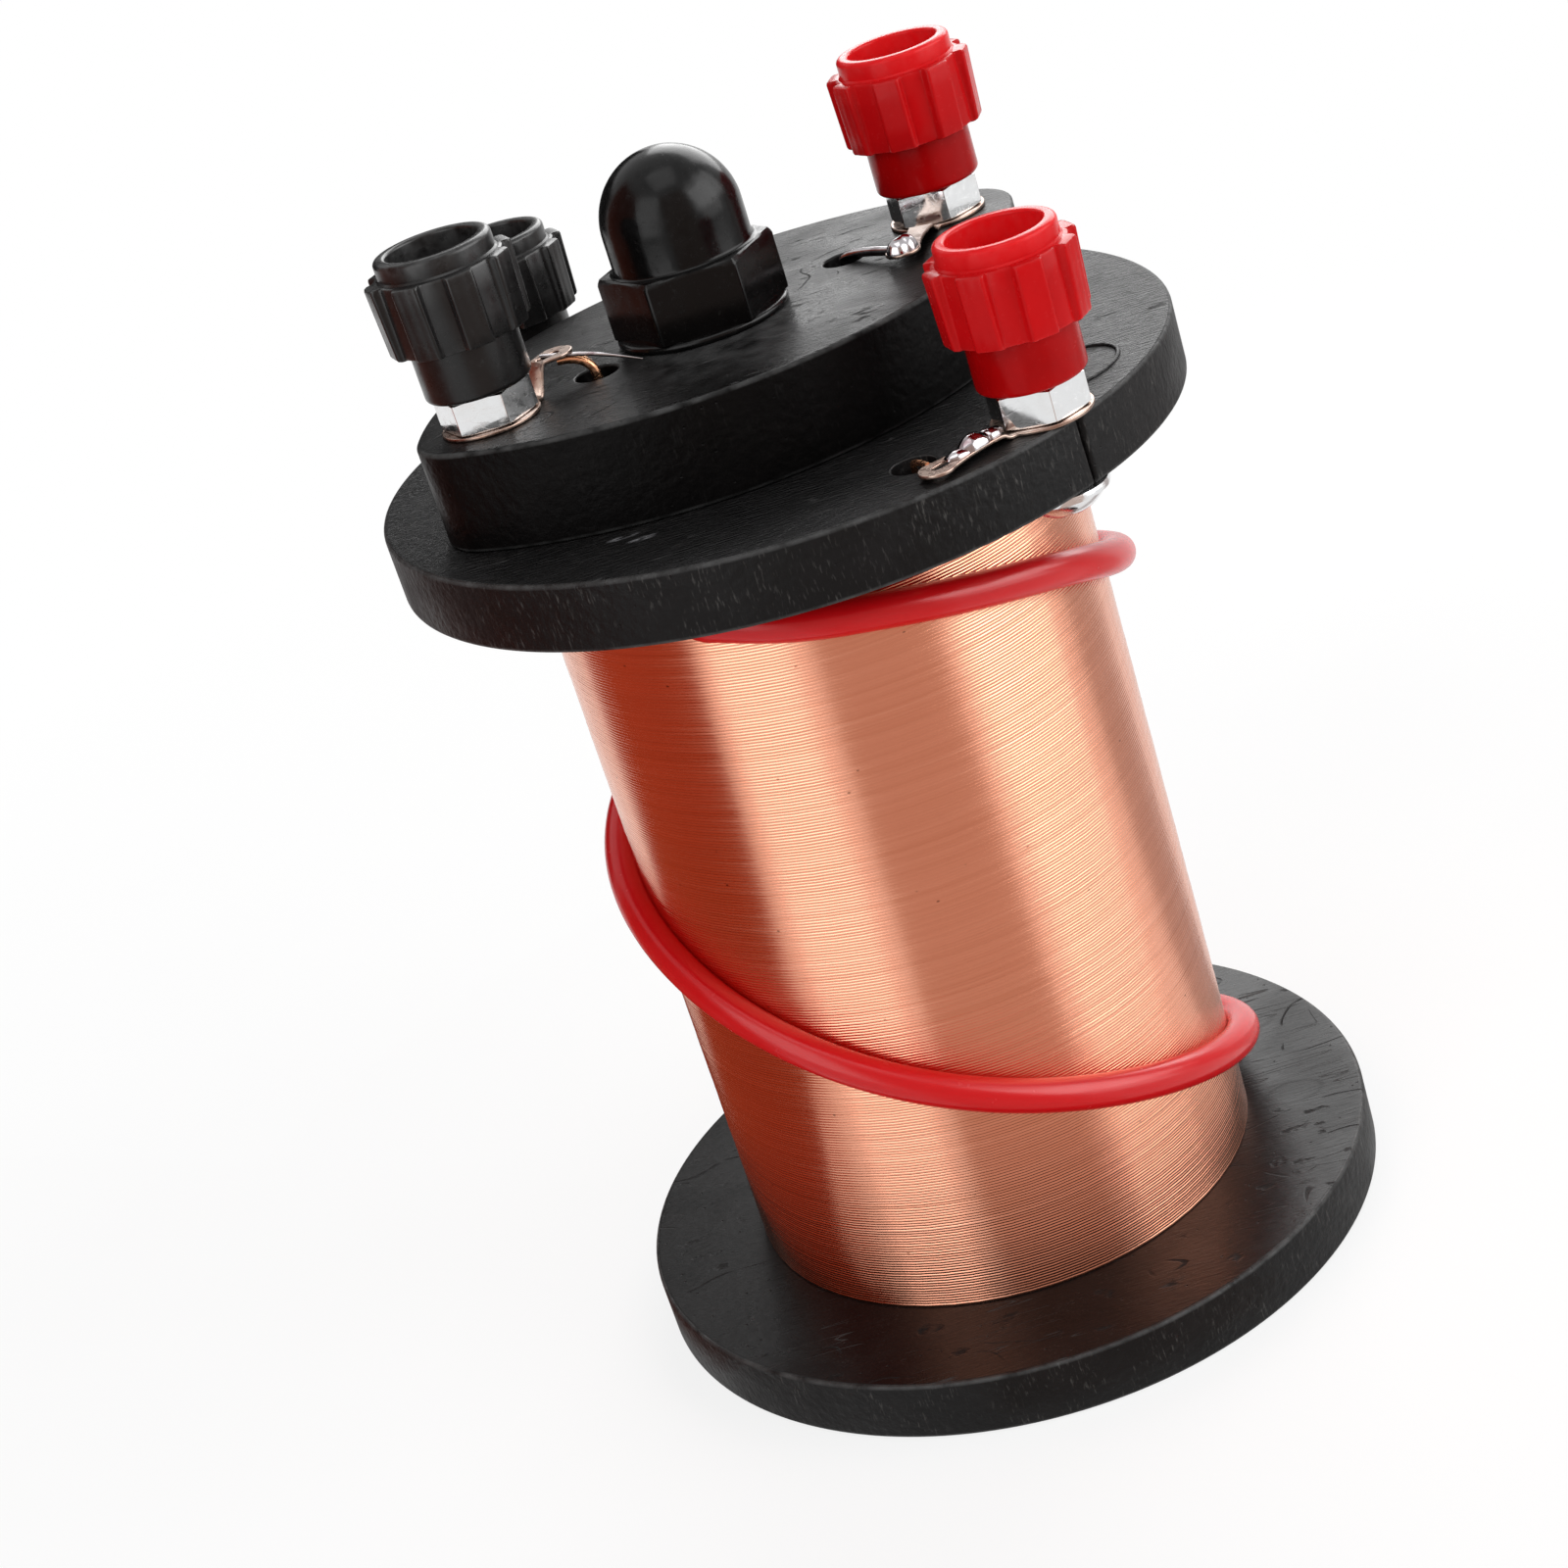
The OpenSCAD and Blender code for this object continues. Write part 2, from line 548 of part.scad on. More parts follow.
// The inner coil
module plate_blank() {
  intersection() {
    translate([0, -plate_flank_y, 0]) disc(2 * plate_flank_r, plate_t, $fn = flank_sides);
    translate([0, plate_flank_y, 0]) disc(2 * plate_flank_r, plate_t, $fn = flank_sides);
    translate([-plate_clip_x, -plate_w, 0]) cube([2 * plate_clip_x, 2 * plate_w, plate_t]);
  }
  for (s = [-1, 1]) translate([s * plate_half, 0, 0]) disc(2 * plate_end_r, plate_t);
}
module primary_plate() color(black) difference() {
  translate(shift + up(z_flange)) rotate(plate_angle) plate_blank();
  drill(inner_axis, core_hole_r, z_flange - cut, z_plate + cut);
  drill(inner_axis, inner_tube_r + glue_gap, z_flange - cut, z_flange + inner_socket);
  for (i = [0, 1]) {
    drill(plate_post(i), screw_hole_r, z_flange - cut, z_plate + cut);
    drill(plate_post(i), head_d / 2 + sink_gap, z_flange - cut, z_flange + head_h + sink_gap);
    drill(plate_hole(i), lead_hole_d / 2, z_flange - cut, z_plate + cut);
  }
}
module primary_tube() color(paper)
  translate(inner_axis) pipe(core_hole_r, inner_tube_r, foot_z, z_flange + inner_socket);
module primary_end_flange() color(black)
  translate(inner_axis) pipe(inner_tube_r + glue_gap, end_flange_r, foot_z, foot_z + end_flange_t);
module primary_winding() color(copper)
  translate(inner_axis) pipe(inner_tube_r + glue_gap, inner_winding_r, foot_z + end_flange_t, z_flange);
module at_plate_posts() for (i = [0, 1]) translate(plate_post(i)) children();
module primary_screws() color(steel) at_plate_posts() pan_screw(plate_t - head_h - sink_gap);
module primary_lugs() color(tinned) for (i = [0, 1])
  translate(plate_post(i)) rotate(plate_lug_dir(i)) lug(plate_lug_ls[i], plate_lug_hs[i]);
module primary_nuts() color(steel) at_plate_posts() nut();
module primary_leads() color(copper) for (i = [0, 1])
  lead(plate_lead(i), plate_hole(i), plate_eye(i), plate_lead_d);
module primary_solder() color(steel) translate(plate_eye(0) + up(lug_t)) solder();

// The iron core and its cap
module iron_core() color("dimgray") translate(inner_axis) {
  translate(up(foot_z)) cylinder(r = core_r, h = z_plate - foot_z);
  translate(up(z_plate)) cylinder(r = stub_d / 2, h = stub_l);
}
module core_cap() color(black) translate(inner_axis + up(z_plate)) difference() {
  dome_r = cap_dome_d / 2;
  corner_r = cap_af / 2 / cos(30);
  bevel = corner_r - cap_af / 2;
  union() {
    cylinder(r = cap_foot_d / 2, h = cap_foot_h);
    intersection() {
      hexagon(cap_af, cap_hex_h);
      rotate_extrude()
        polygon([[0, 0], [corner_r, 0], [corner_r, cap_hex_h - bevel], [corner_r - bevel, cap_hex_h],
          [0, cap_hex_h]]);
    }
    cylinder(r = dome_r, h = cap_h - dome_r);
    translate(up(cap_h - dome_r)) sphere(r = dome_r);
  }
  translate(up(-cut)) cylinder(r = stub_d / 2 + thread_gap, h = stub_l + glue_gap + cut);
}

// The knobs and their inserts
module secondary_red_knob() color(red) translate(flange_post(0) + up(stack_h)) knob(knob_turns[0]);
module secondary_black_knob() color(black) translate(flange_post(1) + up(stack_h)) knob(knob_turns[1]);
module primary_red_knob() color(red) translate(plate_post(0) + up(stack_h)) knob(knob_turns[2]);
module primary_black_knob() color(black) translate(plate_post(1) + up(stack_h)) knob(knob_turns[3]);
module secondary_red_insert() color("goldenrod") translate(flange_post(0) + up(stack_h)) insert();
module secondary_black_insert() color("goldenrod") translate(flange_post(1) + up(stack_h)) insert();
module primary_red_insert() color("goldenrod") translate(plate_post(0) + up(stack_h)) insert();
module primary_black_insert() color("goldenrod") translate(plate_post(1) + up(stack_h)) insert();

base_flange();
top_flange();
secondary_tube();
secondary_winding();
secondary_turns();
marker_wire();
secondary_screws();
secondary_lugs();
secondary_nuts();
secondary_leads();
secondary_solder();
primary_plate();
primary_tube();
primary_end_flange();
primary_winding();
primary_screws();
primary_lugs();
primary_nuts();
primary_leads();
primary_solder();
iron_core();
core_cap();
secondary_red_knob();
secondary_black_knob();
primary_red_knob();
primary_black_knob();
secondary_red_insert();
secondary_black_insert();
primary_red_insert();
primary_black_insert();
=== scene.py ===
"""Induction coil for the classroom: the dressed model in its studio.

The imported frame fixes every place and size. Each part of it is covered by a surface worked out with numpy,
with the rounding, turns, threads and solder that the plain solids leave out, and takes a finish of its own.
The four brass inserts keep their solids. The outer coil stands still, the inner coil and the iron core lift
out of it, and the four terminal knobs turn and rise. Lengths in this script are millimetres, and the mesh
writer turns them into the frame's metres.
"""
from __future__ import annotations

import logging
import math
from dataclasses import dataclass, field, replace
from enum import Enum

import bpy
import numpy as np
from mathutils import Matrix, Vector
from mathutils.geometry import delaunay_2d_cdt

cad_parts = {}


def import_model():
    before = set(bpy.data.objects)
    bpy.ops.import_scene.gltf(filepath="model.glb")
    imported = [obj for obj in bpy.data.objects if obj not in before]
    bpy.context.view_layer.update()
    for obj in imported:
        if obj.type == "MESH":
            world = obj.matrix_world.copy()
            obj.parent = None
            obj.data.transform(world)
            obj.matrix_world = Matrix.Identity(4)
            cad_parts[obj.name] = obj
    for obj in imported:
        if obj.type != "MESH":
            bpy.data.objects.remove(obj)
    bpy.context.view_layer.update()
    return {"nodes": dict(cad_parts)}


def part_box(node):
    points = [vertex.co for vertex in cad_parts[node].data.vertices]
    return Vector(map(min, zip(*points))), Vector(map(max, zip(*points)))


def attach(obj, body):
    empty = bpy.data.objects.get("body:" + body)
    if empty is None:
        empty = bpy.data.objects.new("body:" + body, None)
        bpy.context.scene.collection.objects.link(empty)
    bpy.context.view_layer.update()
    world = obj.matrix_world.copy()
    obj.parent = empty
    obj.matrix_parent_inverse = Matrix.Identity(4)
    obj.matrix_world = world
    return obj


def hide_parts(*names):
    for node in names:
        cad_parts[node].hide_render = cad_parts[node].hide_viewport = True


Array = np.ndarray
Colour = tuple[float, float, float]
Socket = bpy.types.NodeSocket
LOG = logging.getLogger("induction_coil")
MM = 0.001
TURN = 2.0 * math.pi
UPRIGHT = np.array([0.0, 0.0, 1.0])
# The triangulation keeps what lies inside the outlines, and joins points that are closer than this.
KEEP_INSIDE = 1
JOIN_GAP = 1e-7
# Share of a wall's rounding past which its points count as the sawn side.
SIDE_LEVEL = 0.3


class Ends(Enum):
    """How a stack of outlines is closed."""

    RING = "the last outline joins the first"
    CAPPED = "each end closes on a point in its middle"
    OPEN = "the ends stay open for another surface"


class Lead(Enum):
    """Colour of a terminal."""

    RED = "red"
    BLACK = "black"


def unit(vectors: Array) -> Array:
    """Scale vectors along the last axis to length one."""
    return vectors / np.linalg.norm(vectors, axis=-1, keepdims=True)


def polar(radius: float | Array, degrees: float | Array) -> Array:
    """Points in the plane at a radius and a direction."""
    a = np.radians(degrees)
    return np.stack(np.broadcast_arrays(radius * np.cos(a), radius * np.sin(a)), -1)


def raised(plan: Array, height: float | Array) -> Array:
    """Give points in the plane a height."""
    column = np.broadcast_to(np.asarray(height, float)[..., None], (*plan.shape[:-1], 1))
    return np.concatenate([plan, column], -1)


def smooth_step(x: Array) -> Array:
    """Ease from 0 to 1 with level ends: 3x² − 2x³ on the clipped range."""
    t = np.clip(x, 0.0, 1.0)
    return t * t * (3.0 - 2.0 * t)


@dataclass
class Shell:
    """A surface: its points, its faces in blocks of one corner count, which blocks are flat, and its marks.

    Wear is 0 on plain stretches and rises to 1 on edges that rub pale; on the plates the pale edges are
    partly a painted highlight where the rounded edge catches light. Side is 1 on the sawn walls of a plate,
    and on a knob it is painted light: it rises to 1 on the rim and in the cup, which are painted lighter as
    if lit from above. Both go to the mesh as point attributes of those names, which the finishes read.
    """

    points: Array
    faces: list[Array]
    flat: list[bool]
    wear: Array
    side: Array

    def placed(self, at: Array, turn: float = 0.0) -> Shell:
        """Turn the shell about its own upright axis, then move it.

        Args:
            at: Where its origin goes.
            turn: Angle in degrees.

        Returns:
            The moved shell.
        """
        c, s = math.cos(math.radians(turn)), math.sin(math.radians(turn))
        spin = np.array([[c, -s, 0.0], [s, c, 0.0], [0.0, 0.0, 1.0]])
        return replace(self, points=self.points @ spin.T + np.asarray(at))

    def outward(self) -> Shell:
        """Reverse the faces where the volume that they enclose, summed as signed tetrahedra, is negative.

        Returns:
            The same shell.
        """
        fans = [f[:, [0, k, k + 1]] for f in self.faces for k in range(1, f.shape[1] - 1)]
        a, b, c = (self.points[np.concatenate(fans)[:, k]] for k in range(3))
        if np.einsum("ij,ij->", a, np.cross(b, c)) < 0.0:
            self.faces = [f[:, ::-1] for f in self.faces]
        return self


def merged(shells: list[Shell]) -> Shell:
    """Put several shells into one, with their faces renumbered.

    Args:
        shells: Shells in order.

    Returns:
        One shell with all their points.
    """
    starts = np.cumsum([0] + [len(s.points) for s in shells])
    return Shell(
        np.concatenate([s.points for s in shells]),
        [f + start for s, start in zip(shells, starts) for f in s.faces],
        [flag for s in shells for flag in s.flat],
        np.concatenate([s.wear for s in shells]),
        np.concatenate([s.side for s in shells]),
    )


def loft(rows: Array, ends: Ends = Ends.CAPPED, wear: Array | None = None) -> Shell:
    """Skin a stack of closed outlines: point (i, j) joins (i + 1, j) and (i, j + 1), and j wraps round.

    Args:
        rows: Points by outline and by place on the outline.
        ends: How the stack is closed.
        wear: Wear of each outline.

    Returns:
        The skin, with its faces outwards where it is closed.
    """
    m, n = rows.shape[:2]
    i = np.arange(m if ends is Ends.RING else m - 1)[:, None]
    j = np.arange(n)[None, :]
    k, h = (j + 1) % n, (i + 1) % m
    quads = np.stack(np.broadcast_arrays(i * n + j, i * n + k, h * n + k, h * n + j), -1).reshape(-1, 4)
    level = np.zeros(m) if wear is None else np.asarray(wear, float)
    skin = Shell(rows.reshape(-1, 3), [quads], [False], np.repeat(level, n), np.zeros(m * n))
    if ends is Ends.CAPPED:
        j, k = j[0], k[0]
        foot = np.stack([np.full(n, m * n), k, j], -1)
        head = np.stack([np.full(n, m * n + 1), (m - 1) * n + j, (m - 1) * n + k], -1)
        skin.points = np.concatenate([skin.points, rows[[0, -1]].mean(axis=1)])
        skin.wear = np.concatenate([skin.wear, level[[0, -1]]])
        skin.side = np.concatenate([skin.side, [0.0, 0.0]])
        skin.faces.append(np.concatenate([foot, head]))
        skin.flat.append(False)
    return skin if ends is Ends.OPEN else skin.outward()


def lathe(profile: Array, sides: int = 96, ends: Ends = Ends.RING, wear: Array | None = None) -> Shell:
    """Turn a profile round the upright axis.

    Args:
        profile: Pairs of radius and height.
        sides: Points round the axis.
        ends: A ring for a closed profile, capped for one that starts and ends near the axis.
        wear: Wear of each pair.

    Returns:
        The turned skin.
    """
    round_axis = polar(1.0, np.arange(sides) * 360.0 / sides)
    rows = raised(profile[:, None, :1] * round_axis[None], profile[:, None, 1].repeat(sides, 1))
    return loft(rows, ends, wear)


def arc(middle: tuple[float, float], radius: float, start: float, end: float, steps: int = 5) -> Array:
    """Points on an arc between two directions in degrees."""
    return np.asarray(middle) + polar(radius, np.linspace(start, end, steps + 1))


def rounded_ring(inner: float, outer: float, low: float, high: float, edge: float) -> Array:
    """Closed profile of a ring with rounded edges: a quarter arc at each corner.

    Args:
        inner: Inner radius.
        outer: Outer radius.
        low: Lower height.
        high: Upper height.
        edge: Radius of the edges.

    Returns:
        Pairs of radius and height.
    """
    corners = (
        (outer, low, -90.0, -1, 1),
        (outer, high, 0.0, -1, -1),
        (inner, high, 90.0, 1, -1),
        (inner, low, 180.0, 1, 1),
    )
    return np.concatenate([arc((r + a * edge, z + b * edge), edge, q, q + 90.0) for r, z, q, a, b in corners])


def tube(path: Array, up: Array, radius: float | Array, sides: int, flat: float = 1.0) -> Shell:
    """Carry a circle, or a flattened one, along a path.

    The circle's first axis is the part of ``up`` that is square to the path, and its second axis is their
    cross product, so the tube does not twist where ``up`` is smooth.

    Args:
        path: Points of the centre line.
        up: Reference direction, one for all or one for each point.
        radius: Radius, one for all or one for each point.
        sides: Points round the circle.
        flat: Share of the radius that is kept along ``up``.

    Returns:
        The capped tube.
    """
    along = unit(np.gradient(path, axis=0))
    first = unit(up - (up * along).sum(-1, keepdims=True) * along)
    second = np.cross(along, first)
    q = (np.arange(sides) + 0.5)[None, :, None] * TURN / sides
    reach = np.broadcast_to(radius, len(path))[:, None, None]
    return loft(path[:, None] + reach * (flat * np.cos(q) * first[:, None] + np.sin(q) * second[:, None]))


def wall(low: float, high: float, edge_low: float, edge_high: float, steps: int = 5) -> Array:
    """Profile of a plate's wall with a rounded edge at each face.

    Args:
        low: Height of the underside.
        high: Height of the top.
        edge_low: Radius of the lower edge.
        edge_high: Radius of the upper edge.
        steps: Steps of each rounding.

    Returns:
        Rows of step out of the plate, height, and wear, which on the plates is partly a painted edge
        highlight.
    """
    foot = arc((-edge_low, low + edge_low), edge_low, -90.0, 0.0, steps)
    head = arc((-edge_high, high - edge_high), edge_high, 0.0, 90.0, steps)
    wear_and_highlight = np.sin(np.linspace(0.0, math.pi, steps + 1))
    return np.concatenate([np.column_stack([foot, wear_and_highlight]), np.column_stack([head, wear_and_highlight])])


def normals_out(outline: Array) -> Array:
    """Directions out of the solid, which lies left of its outline: the tangent turned clockwise."""
    t = unit(np.roll(outline, -1, 0) - np.roll(outline, 1, 0))
    return np.stack([t[:, 1], -t[:, 0]], -1)


def filled(loops: list[Array], extra: Array) -> Array:
    """Triangles of a flat face between an outline and its holes.

    The triangulation is held to the outlines. A triangle belongs to the face where a line to the right of
    its middle crosses the outlines an odd number of times.

    Args:
        loops: Outlines in the plane.
        extra: More points inside the face.

    Returns:
        Three point numbers for each triangle, counted through the loops and then the extra points.
    """
    starts = np.cumsum([0] + [len(p) for p in loops])
    rims = []
    for loop, start in zip(loops, starts):
        number = start + np.arange(len(loop))
        rims.append(np.stack([number, np.roll(number, -1)], -1))
    plan, rim = np.concatenate([*loops, extra]), np.concatenate(rims)
    _, _, faces, origin, _, _ = delaunay_2d_cdt(plan.tolist(), rim.tolist(), [], KEEP_INSIDE, JOIN_GAP)
    tris = np.array([o[0] for o in origin])[np.array(faces)]
    x, y = plan[tris].mean(axis=1).T[:, :, None]
    (x0, y0), (x1, y1) = plan[rim[:, 0]].T, plan[rim[:, 1]].T
    with np.errstate(divide="ignore", invalid="ignore"):
        crossing = ((y0 > y) != (y1 > y)) & (x < (x1 - x0) * (y - y0) / (y1 - y0) + x0)
    return tris[crossing.sum(axis=1) % 2 == 1]


def slab(edges: list[tuple[Array, Array]], extra: Array | None = None) -> Shell:
    """A plate with holes: walls carried round each outline, and flat faces between them.

    Args:
        edges: Outline and wall profile of the plate, counter-clockwise, and of each hole, clockwise.
        extra: More points inside both flat faces.

    Returns:
        The closed plate.
    """
    extra = np.zeros((0, 2)) if extra is None else extra
    walls = []
    for outline, profile in edges:
        plan = outline[None] + normals_out(outline)[None] * profile[:, None, :1]
        rows = raised(plan, profile[:, None, 1].repeat(len(outline), 1))
        walls.append(loft(rows, Ends.OPEN, profile[:, 2]))
    skin = merged(walls)
    sawn = [np.sin(np.linspace(0.0, math.pi, len(p))) > SIDE_LEVEL for _, p in edges]
    skin.side = np.concatenate([np.repeat(level, len(o)) for level, (o, _) in zip(sawn, edges)])
    starts = np.cumsum([0] + [len(w.points) for w in walls])
    for top in (False, True):
        rows = [len(p) - 1 if top else 0 for _, p in edges]
        numbers = [s + row * len(o) + np.arange(len(o)) for row, (o, _), s in zip(rows, edges, starts)]
        spare = np.arange(len(extra)) + len(skin.points)
        tris = filled([skin.points[k, :2] for k in numbers], extra)
        skin.points = np.concatenate([skin.points, raised(extra, edges[0][1][-1 if top else 0, 1])])
        skin.wear = np.concatenate([skin.wear, np.zeros(len(extra))])
        skin.side = np.concatenate([skin.side, np.zeros(len(extra))])
        skin.faces.append(np.concatenate([*numbers, spare])[tris[:, :: 1 if top else -1]])
        skin.flat.append(True)
    return skin.outward()


def circle(middle: Array, radius: float, sides: int = 72) -> Array:
    """Outline of a disc, counter-clockwise."""
    return np.asarray(middle)[:2] + polar(radius, np.arange(sides) * 360.0 / sides)


def hole(middle: Array, radius: float, profile: Array, sides: int = 48) -> tuple[Array, Array]:
    """Outline of a round hole, clockwise, with the profile of its wall."""
    return circle(middle, radius, sides)[::-1], profile


def hexagon(across: float, corner: float, arc_steps: int = 6, flat_steps: int = 6) -> Array:
    """Outline of a hexagon with rounded corners: six arcs about a smaller one's corners, joined by flats.

    Args:
        across: Width across the flats.
        corner: Radius of the corners.
        arc_steps: Steps on each corner.
        flat_steps: Steps on each flat.

    Returns:
        The outline, counter-clockwise, with its first corner along +X.
    """
    inner = (across / 2.0 - corner) / math.cos(math.pi / 6.0)
    aims = 60.0 * np.arange(6)
    arcs = np.stack([arc(polar(inner, a), corner, a - 30.0, a + 30.0, arc_steps) for a in aims])
    share = (np.arange(1, flat_steps) / flat_steps)[None, :, None]
    flats = arcs[:, -1:] * (1.0 - share) + np.roll(arcs, -1, 0)[:, :1] * share
    return np.concatenate([arcs, flats], axis=1).reshape(-1, 2)


@dataclass(frozen=True)
class Box:
    """Lowest and highest corner of a node of the frame."""

    low: Array
    high: Array

    @classmethod
    def of(cls, node: str) -> Box:
        """Measure a node at rest."""
        low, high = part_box(node)
        return cls(np.array(low) / MM, np.array(high) / MM)

    @property
    def middle(self) -> Array:
        """Centre of the box."""
        return (self.low + self.high) / 2.0

    @property
    def radius(self) -> float:
        """Radius of an upright round node."""
        return float(self.high[0] - self.low[0]) / 2.0


class Graph:
    """Node graph of one finish round its shader, on Object coordinates in millimetres."""

    def __init__(self, name: str) -> None:
        """Start a material.

        Args:
            name: Its name.
        """
        self.material = bpy.data.materials.new(name)
        self.material.use_nodes = True
        self.nodes = self.material.node_tree.nodes
        self.links = self.material.node_tree.links
        self.shader = self.nodes["Principled BSDF"]
        self.place = self.nodes.new("ShaderNodeTexCoord").outputs["Object"]

    def feed(self, socket: Socket, value: object) -> None:
        """Link a socket to another one, or set it to a plain value.

        Args:
            socket: Input of a node.
            value: Output of another node, or the plain value.
        """
        if isinstance(value, Socket):
            self.links.new(value, socket)
        else:
            socket.default_value = value

    def add(self, kind: str, inputs: dict[str | int, object], **settings: object) -> bpy.types.Node:
        """Add a node.

        Args:
            kind: Node type without its common prefix.
            inputs: Values or sockets by input.
            settings: Properties of the node.

        Returns:
            The node.
        """
        node = self.nodes.new("ShaderNode" + kind)
        for key, value in settings.items():
            setattr(node, key, value)
        for key, value in inputs.items():
            self.feed(node.inputs[key], value)
        return node

    def set(self, **values: object) -> None:
        """Set inputs of the shader, with underscores for the spaces in their names."""
        for key, value in values.items():
            self.feed(self.shader.inputs[key.replace("_", " ")], value)

    def coords(self, stretch: Colour = (1.0, 1.0, 1.0), turn: Colour = (0.0, 0.0, 0.0)) -> Socket:
        """Millimetre coordinates.

        Args:
            stretch: Factor along each axis.
            turn: Degrees about each axis.

        Returns:
            The coordinates.
        """
        scale = tuple(s / MM for s in stretch)
        inputs = {"Vector": self.place, "Scale": scale, "Rotation": tuple(math.radians(a) for a in turn)}
        return self.add("Mapping", inputs).outputs[0]

    def noise(self, coords: Socket, scale: float, detail: float = 3.0, warp: float = 0.0) -> Socket:
        """Cloudy values from 0 to 1 with this many patches to the millimetre."""
        inputs = {"Vector": coords, "Scale": scale, "Detail": detail, "Distortion": warp}
        return self.add("TexNoise", inputs).outputs["Fac"]

    def cells(self, coords: Socket, scale: float) -> Socket:
        """Distance to the nearest cell point."""
        return self.add("TexVoronoi", {"Vector": coords, "Scale": scale}).outputs["Distance"]

    def band(self, value: Socket, low: float, high: float, start: float = 0.0, end: float = 1.0) -> Socket:
        """Map the range from low to high onto start to end, clipped."""
        inputs = {"Value": value, "From Min": low, "From Max": high, "To Min": start, "To Max": end}
        return self.add("MapRange", inputs).outputs[0]

    def calc(self, operation: str, a: object, b: object = 0.0) -> Socket:
        """Arithmetic on two values."""
        return self.add("Math", {0: a, 1: b}, operation=operation).outputs[0]

    def times(self, a: object, b: object) -> Socket:
        """Product of two values."""
        return self.calc("MULTIPLY", a, b)

    def plus(self, a: object, b: object) -> Socket:
        """Sum of two values."""
        return self.calc("ADD", a, b)

    def most(self, a: object, b: object) -> Socket:
        """The greater of two values."""
        return self.calc("MAXIMUM", a, b)

    def mix(self, share: object, a: object, b: object) -> Socket:
        """Blend two colours."""
        inputs = {0: share, 6: self.opaque(a), 7: self.opaque(b)}
        return self.add("Mix", inputs, data_type="RGBA").outputs[2]

    def mark(self, name: str) -> Socket:
        """A point attribute of the mesh."""
        return self.add("Attribute", {}, attribute_name=name).outputs["Fac"]

    def bump(self, height: Socket, depth: float) -> Socket:
        """Normals of a relief this many millimetres deep."""
        inputs = {"Height": height, "Distance": depth * MM, "Strength": 1.0}
        return self.add("Bump", inputs).outputs[0]

    def scratches(self, turn: float, length: float, width: float, share: float, slim: float = 4.0) -> Socket:
        """Hairlines: where a slow, drawn-out noise passes its middle, kept where a mask is high.

        Args:
            turn: Direction in degrees.
            length: Length of the noise's patches in millimetres.
            width: Half the range of the noise that counts as a line.
            share: Level of the mask under which lines are left out.
            slim: How much longer than wide the patches are, which keeps the lines straight.

        Returns:
            1 on the lines, 0 elsewhere.
        """
        sharp, patch, tilt, fade = 0.4, 0.13, 31.0, 0.05
        drawn = self.coords((1.0 / length, slim / length, slim / length), (0.0, 0.0, turn))
        away = self.calc("ABSOLUTE", self.calc("SUBTRACT", self.noise(drawn, 1.0, 1.0), 0.5))
        lines = self.band(away, width * sharp, width, 1.0, 0.0)
        patches = self.noise(self.coords((patch, patch, patch), (turn, tilt, turn)), 1.0)
        return self.times(lines, self.band(patches, share, share + fade))

    def oval(self, middle: Colour, long: float, wide: float) -> Socket:
        """An oval about a point, with its long axis along X.

        Args:
            middle: The point.
            long: Half its length.
            wide: Half its width and height.

        Returns:
            1 in the oval's inner part, falling to 0 at its rim.
        """
        reach = (long, wide, wide)
        inputs = {"Vector": self.place, "Scale": tuple(1.0 / (r * MM) for r in reach)}
        inputs["Location"] = tuple(-m / r for m, r in zip(middle, reach))
        away = self.add("VectorMath", {0: self.add("Mapping", inputs).outputs[0]}, operation="LENGTH")
        return self.band(away.outputs["Value"], 1.0, 0.4)

    @staticmethod
    def opaque(colour: object) -> object:
        """Add full alpha to a plain colour."""
        return (*colour, 1.0) if isinstance(colour, tuple) and len(colour) == 3 else colour


@dataclass(frozen=True)
class Finish:
    """A surface finish for one material slot of the record."""

    slot: str
    colour: Colour
    roughness: float
    grade: str = ""

    def material(self) -> bpy.types.Material:
        """The finish's material, made on first use.

        Returns:
            The material.
        """
        name = "finish_" + self.slot + self.grade
        if name not in bpy.data.materials:
            graph = Graph(name)
            graph.set(Base_Color=graph.opaque(self.colour), Roughness=self.roughness)
            self.draw(graph)
        return bpy.data.materials[name]

    def draw(self, graph: Graph) -> None:
        """Add the finish's detail.

        Args:
            graph: Graph of the material.
        """


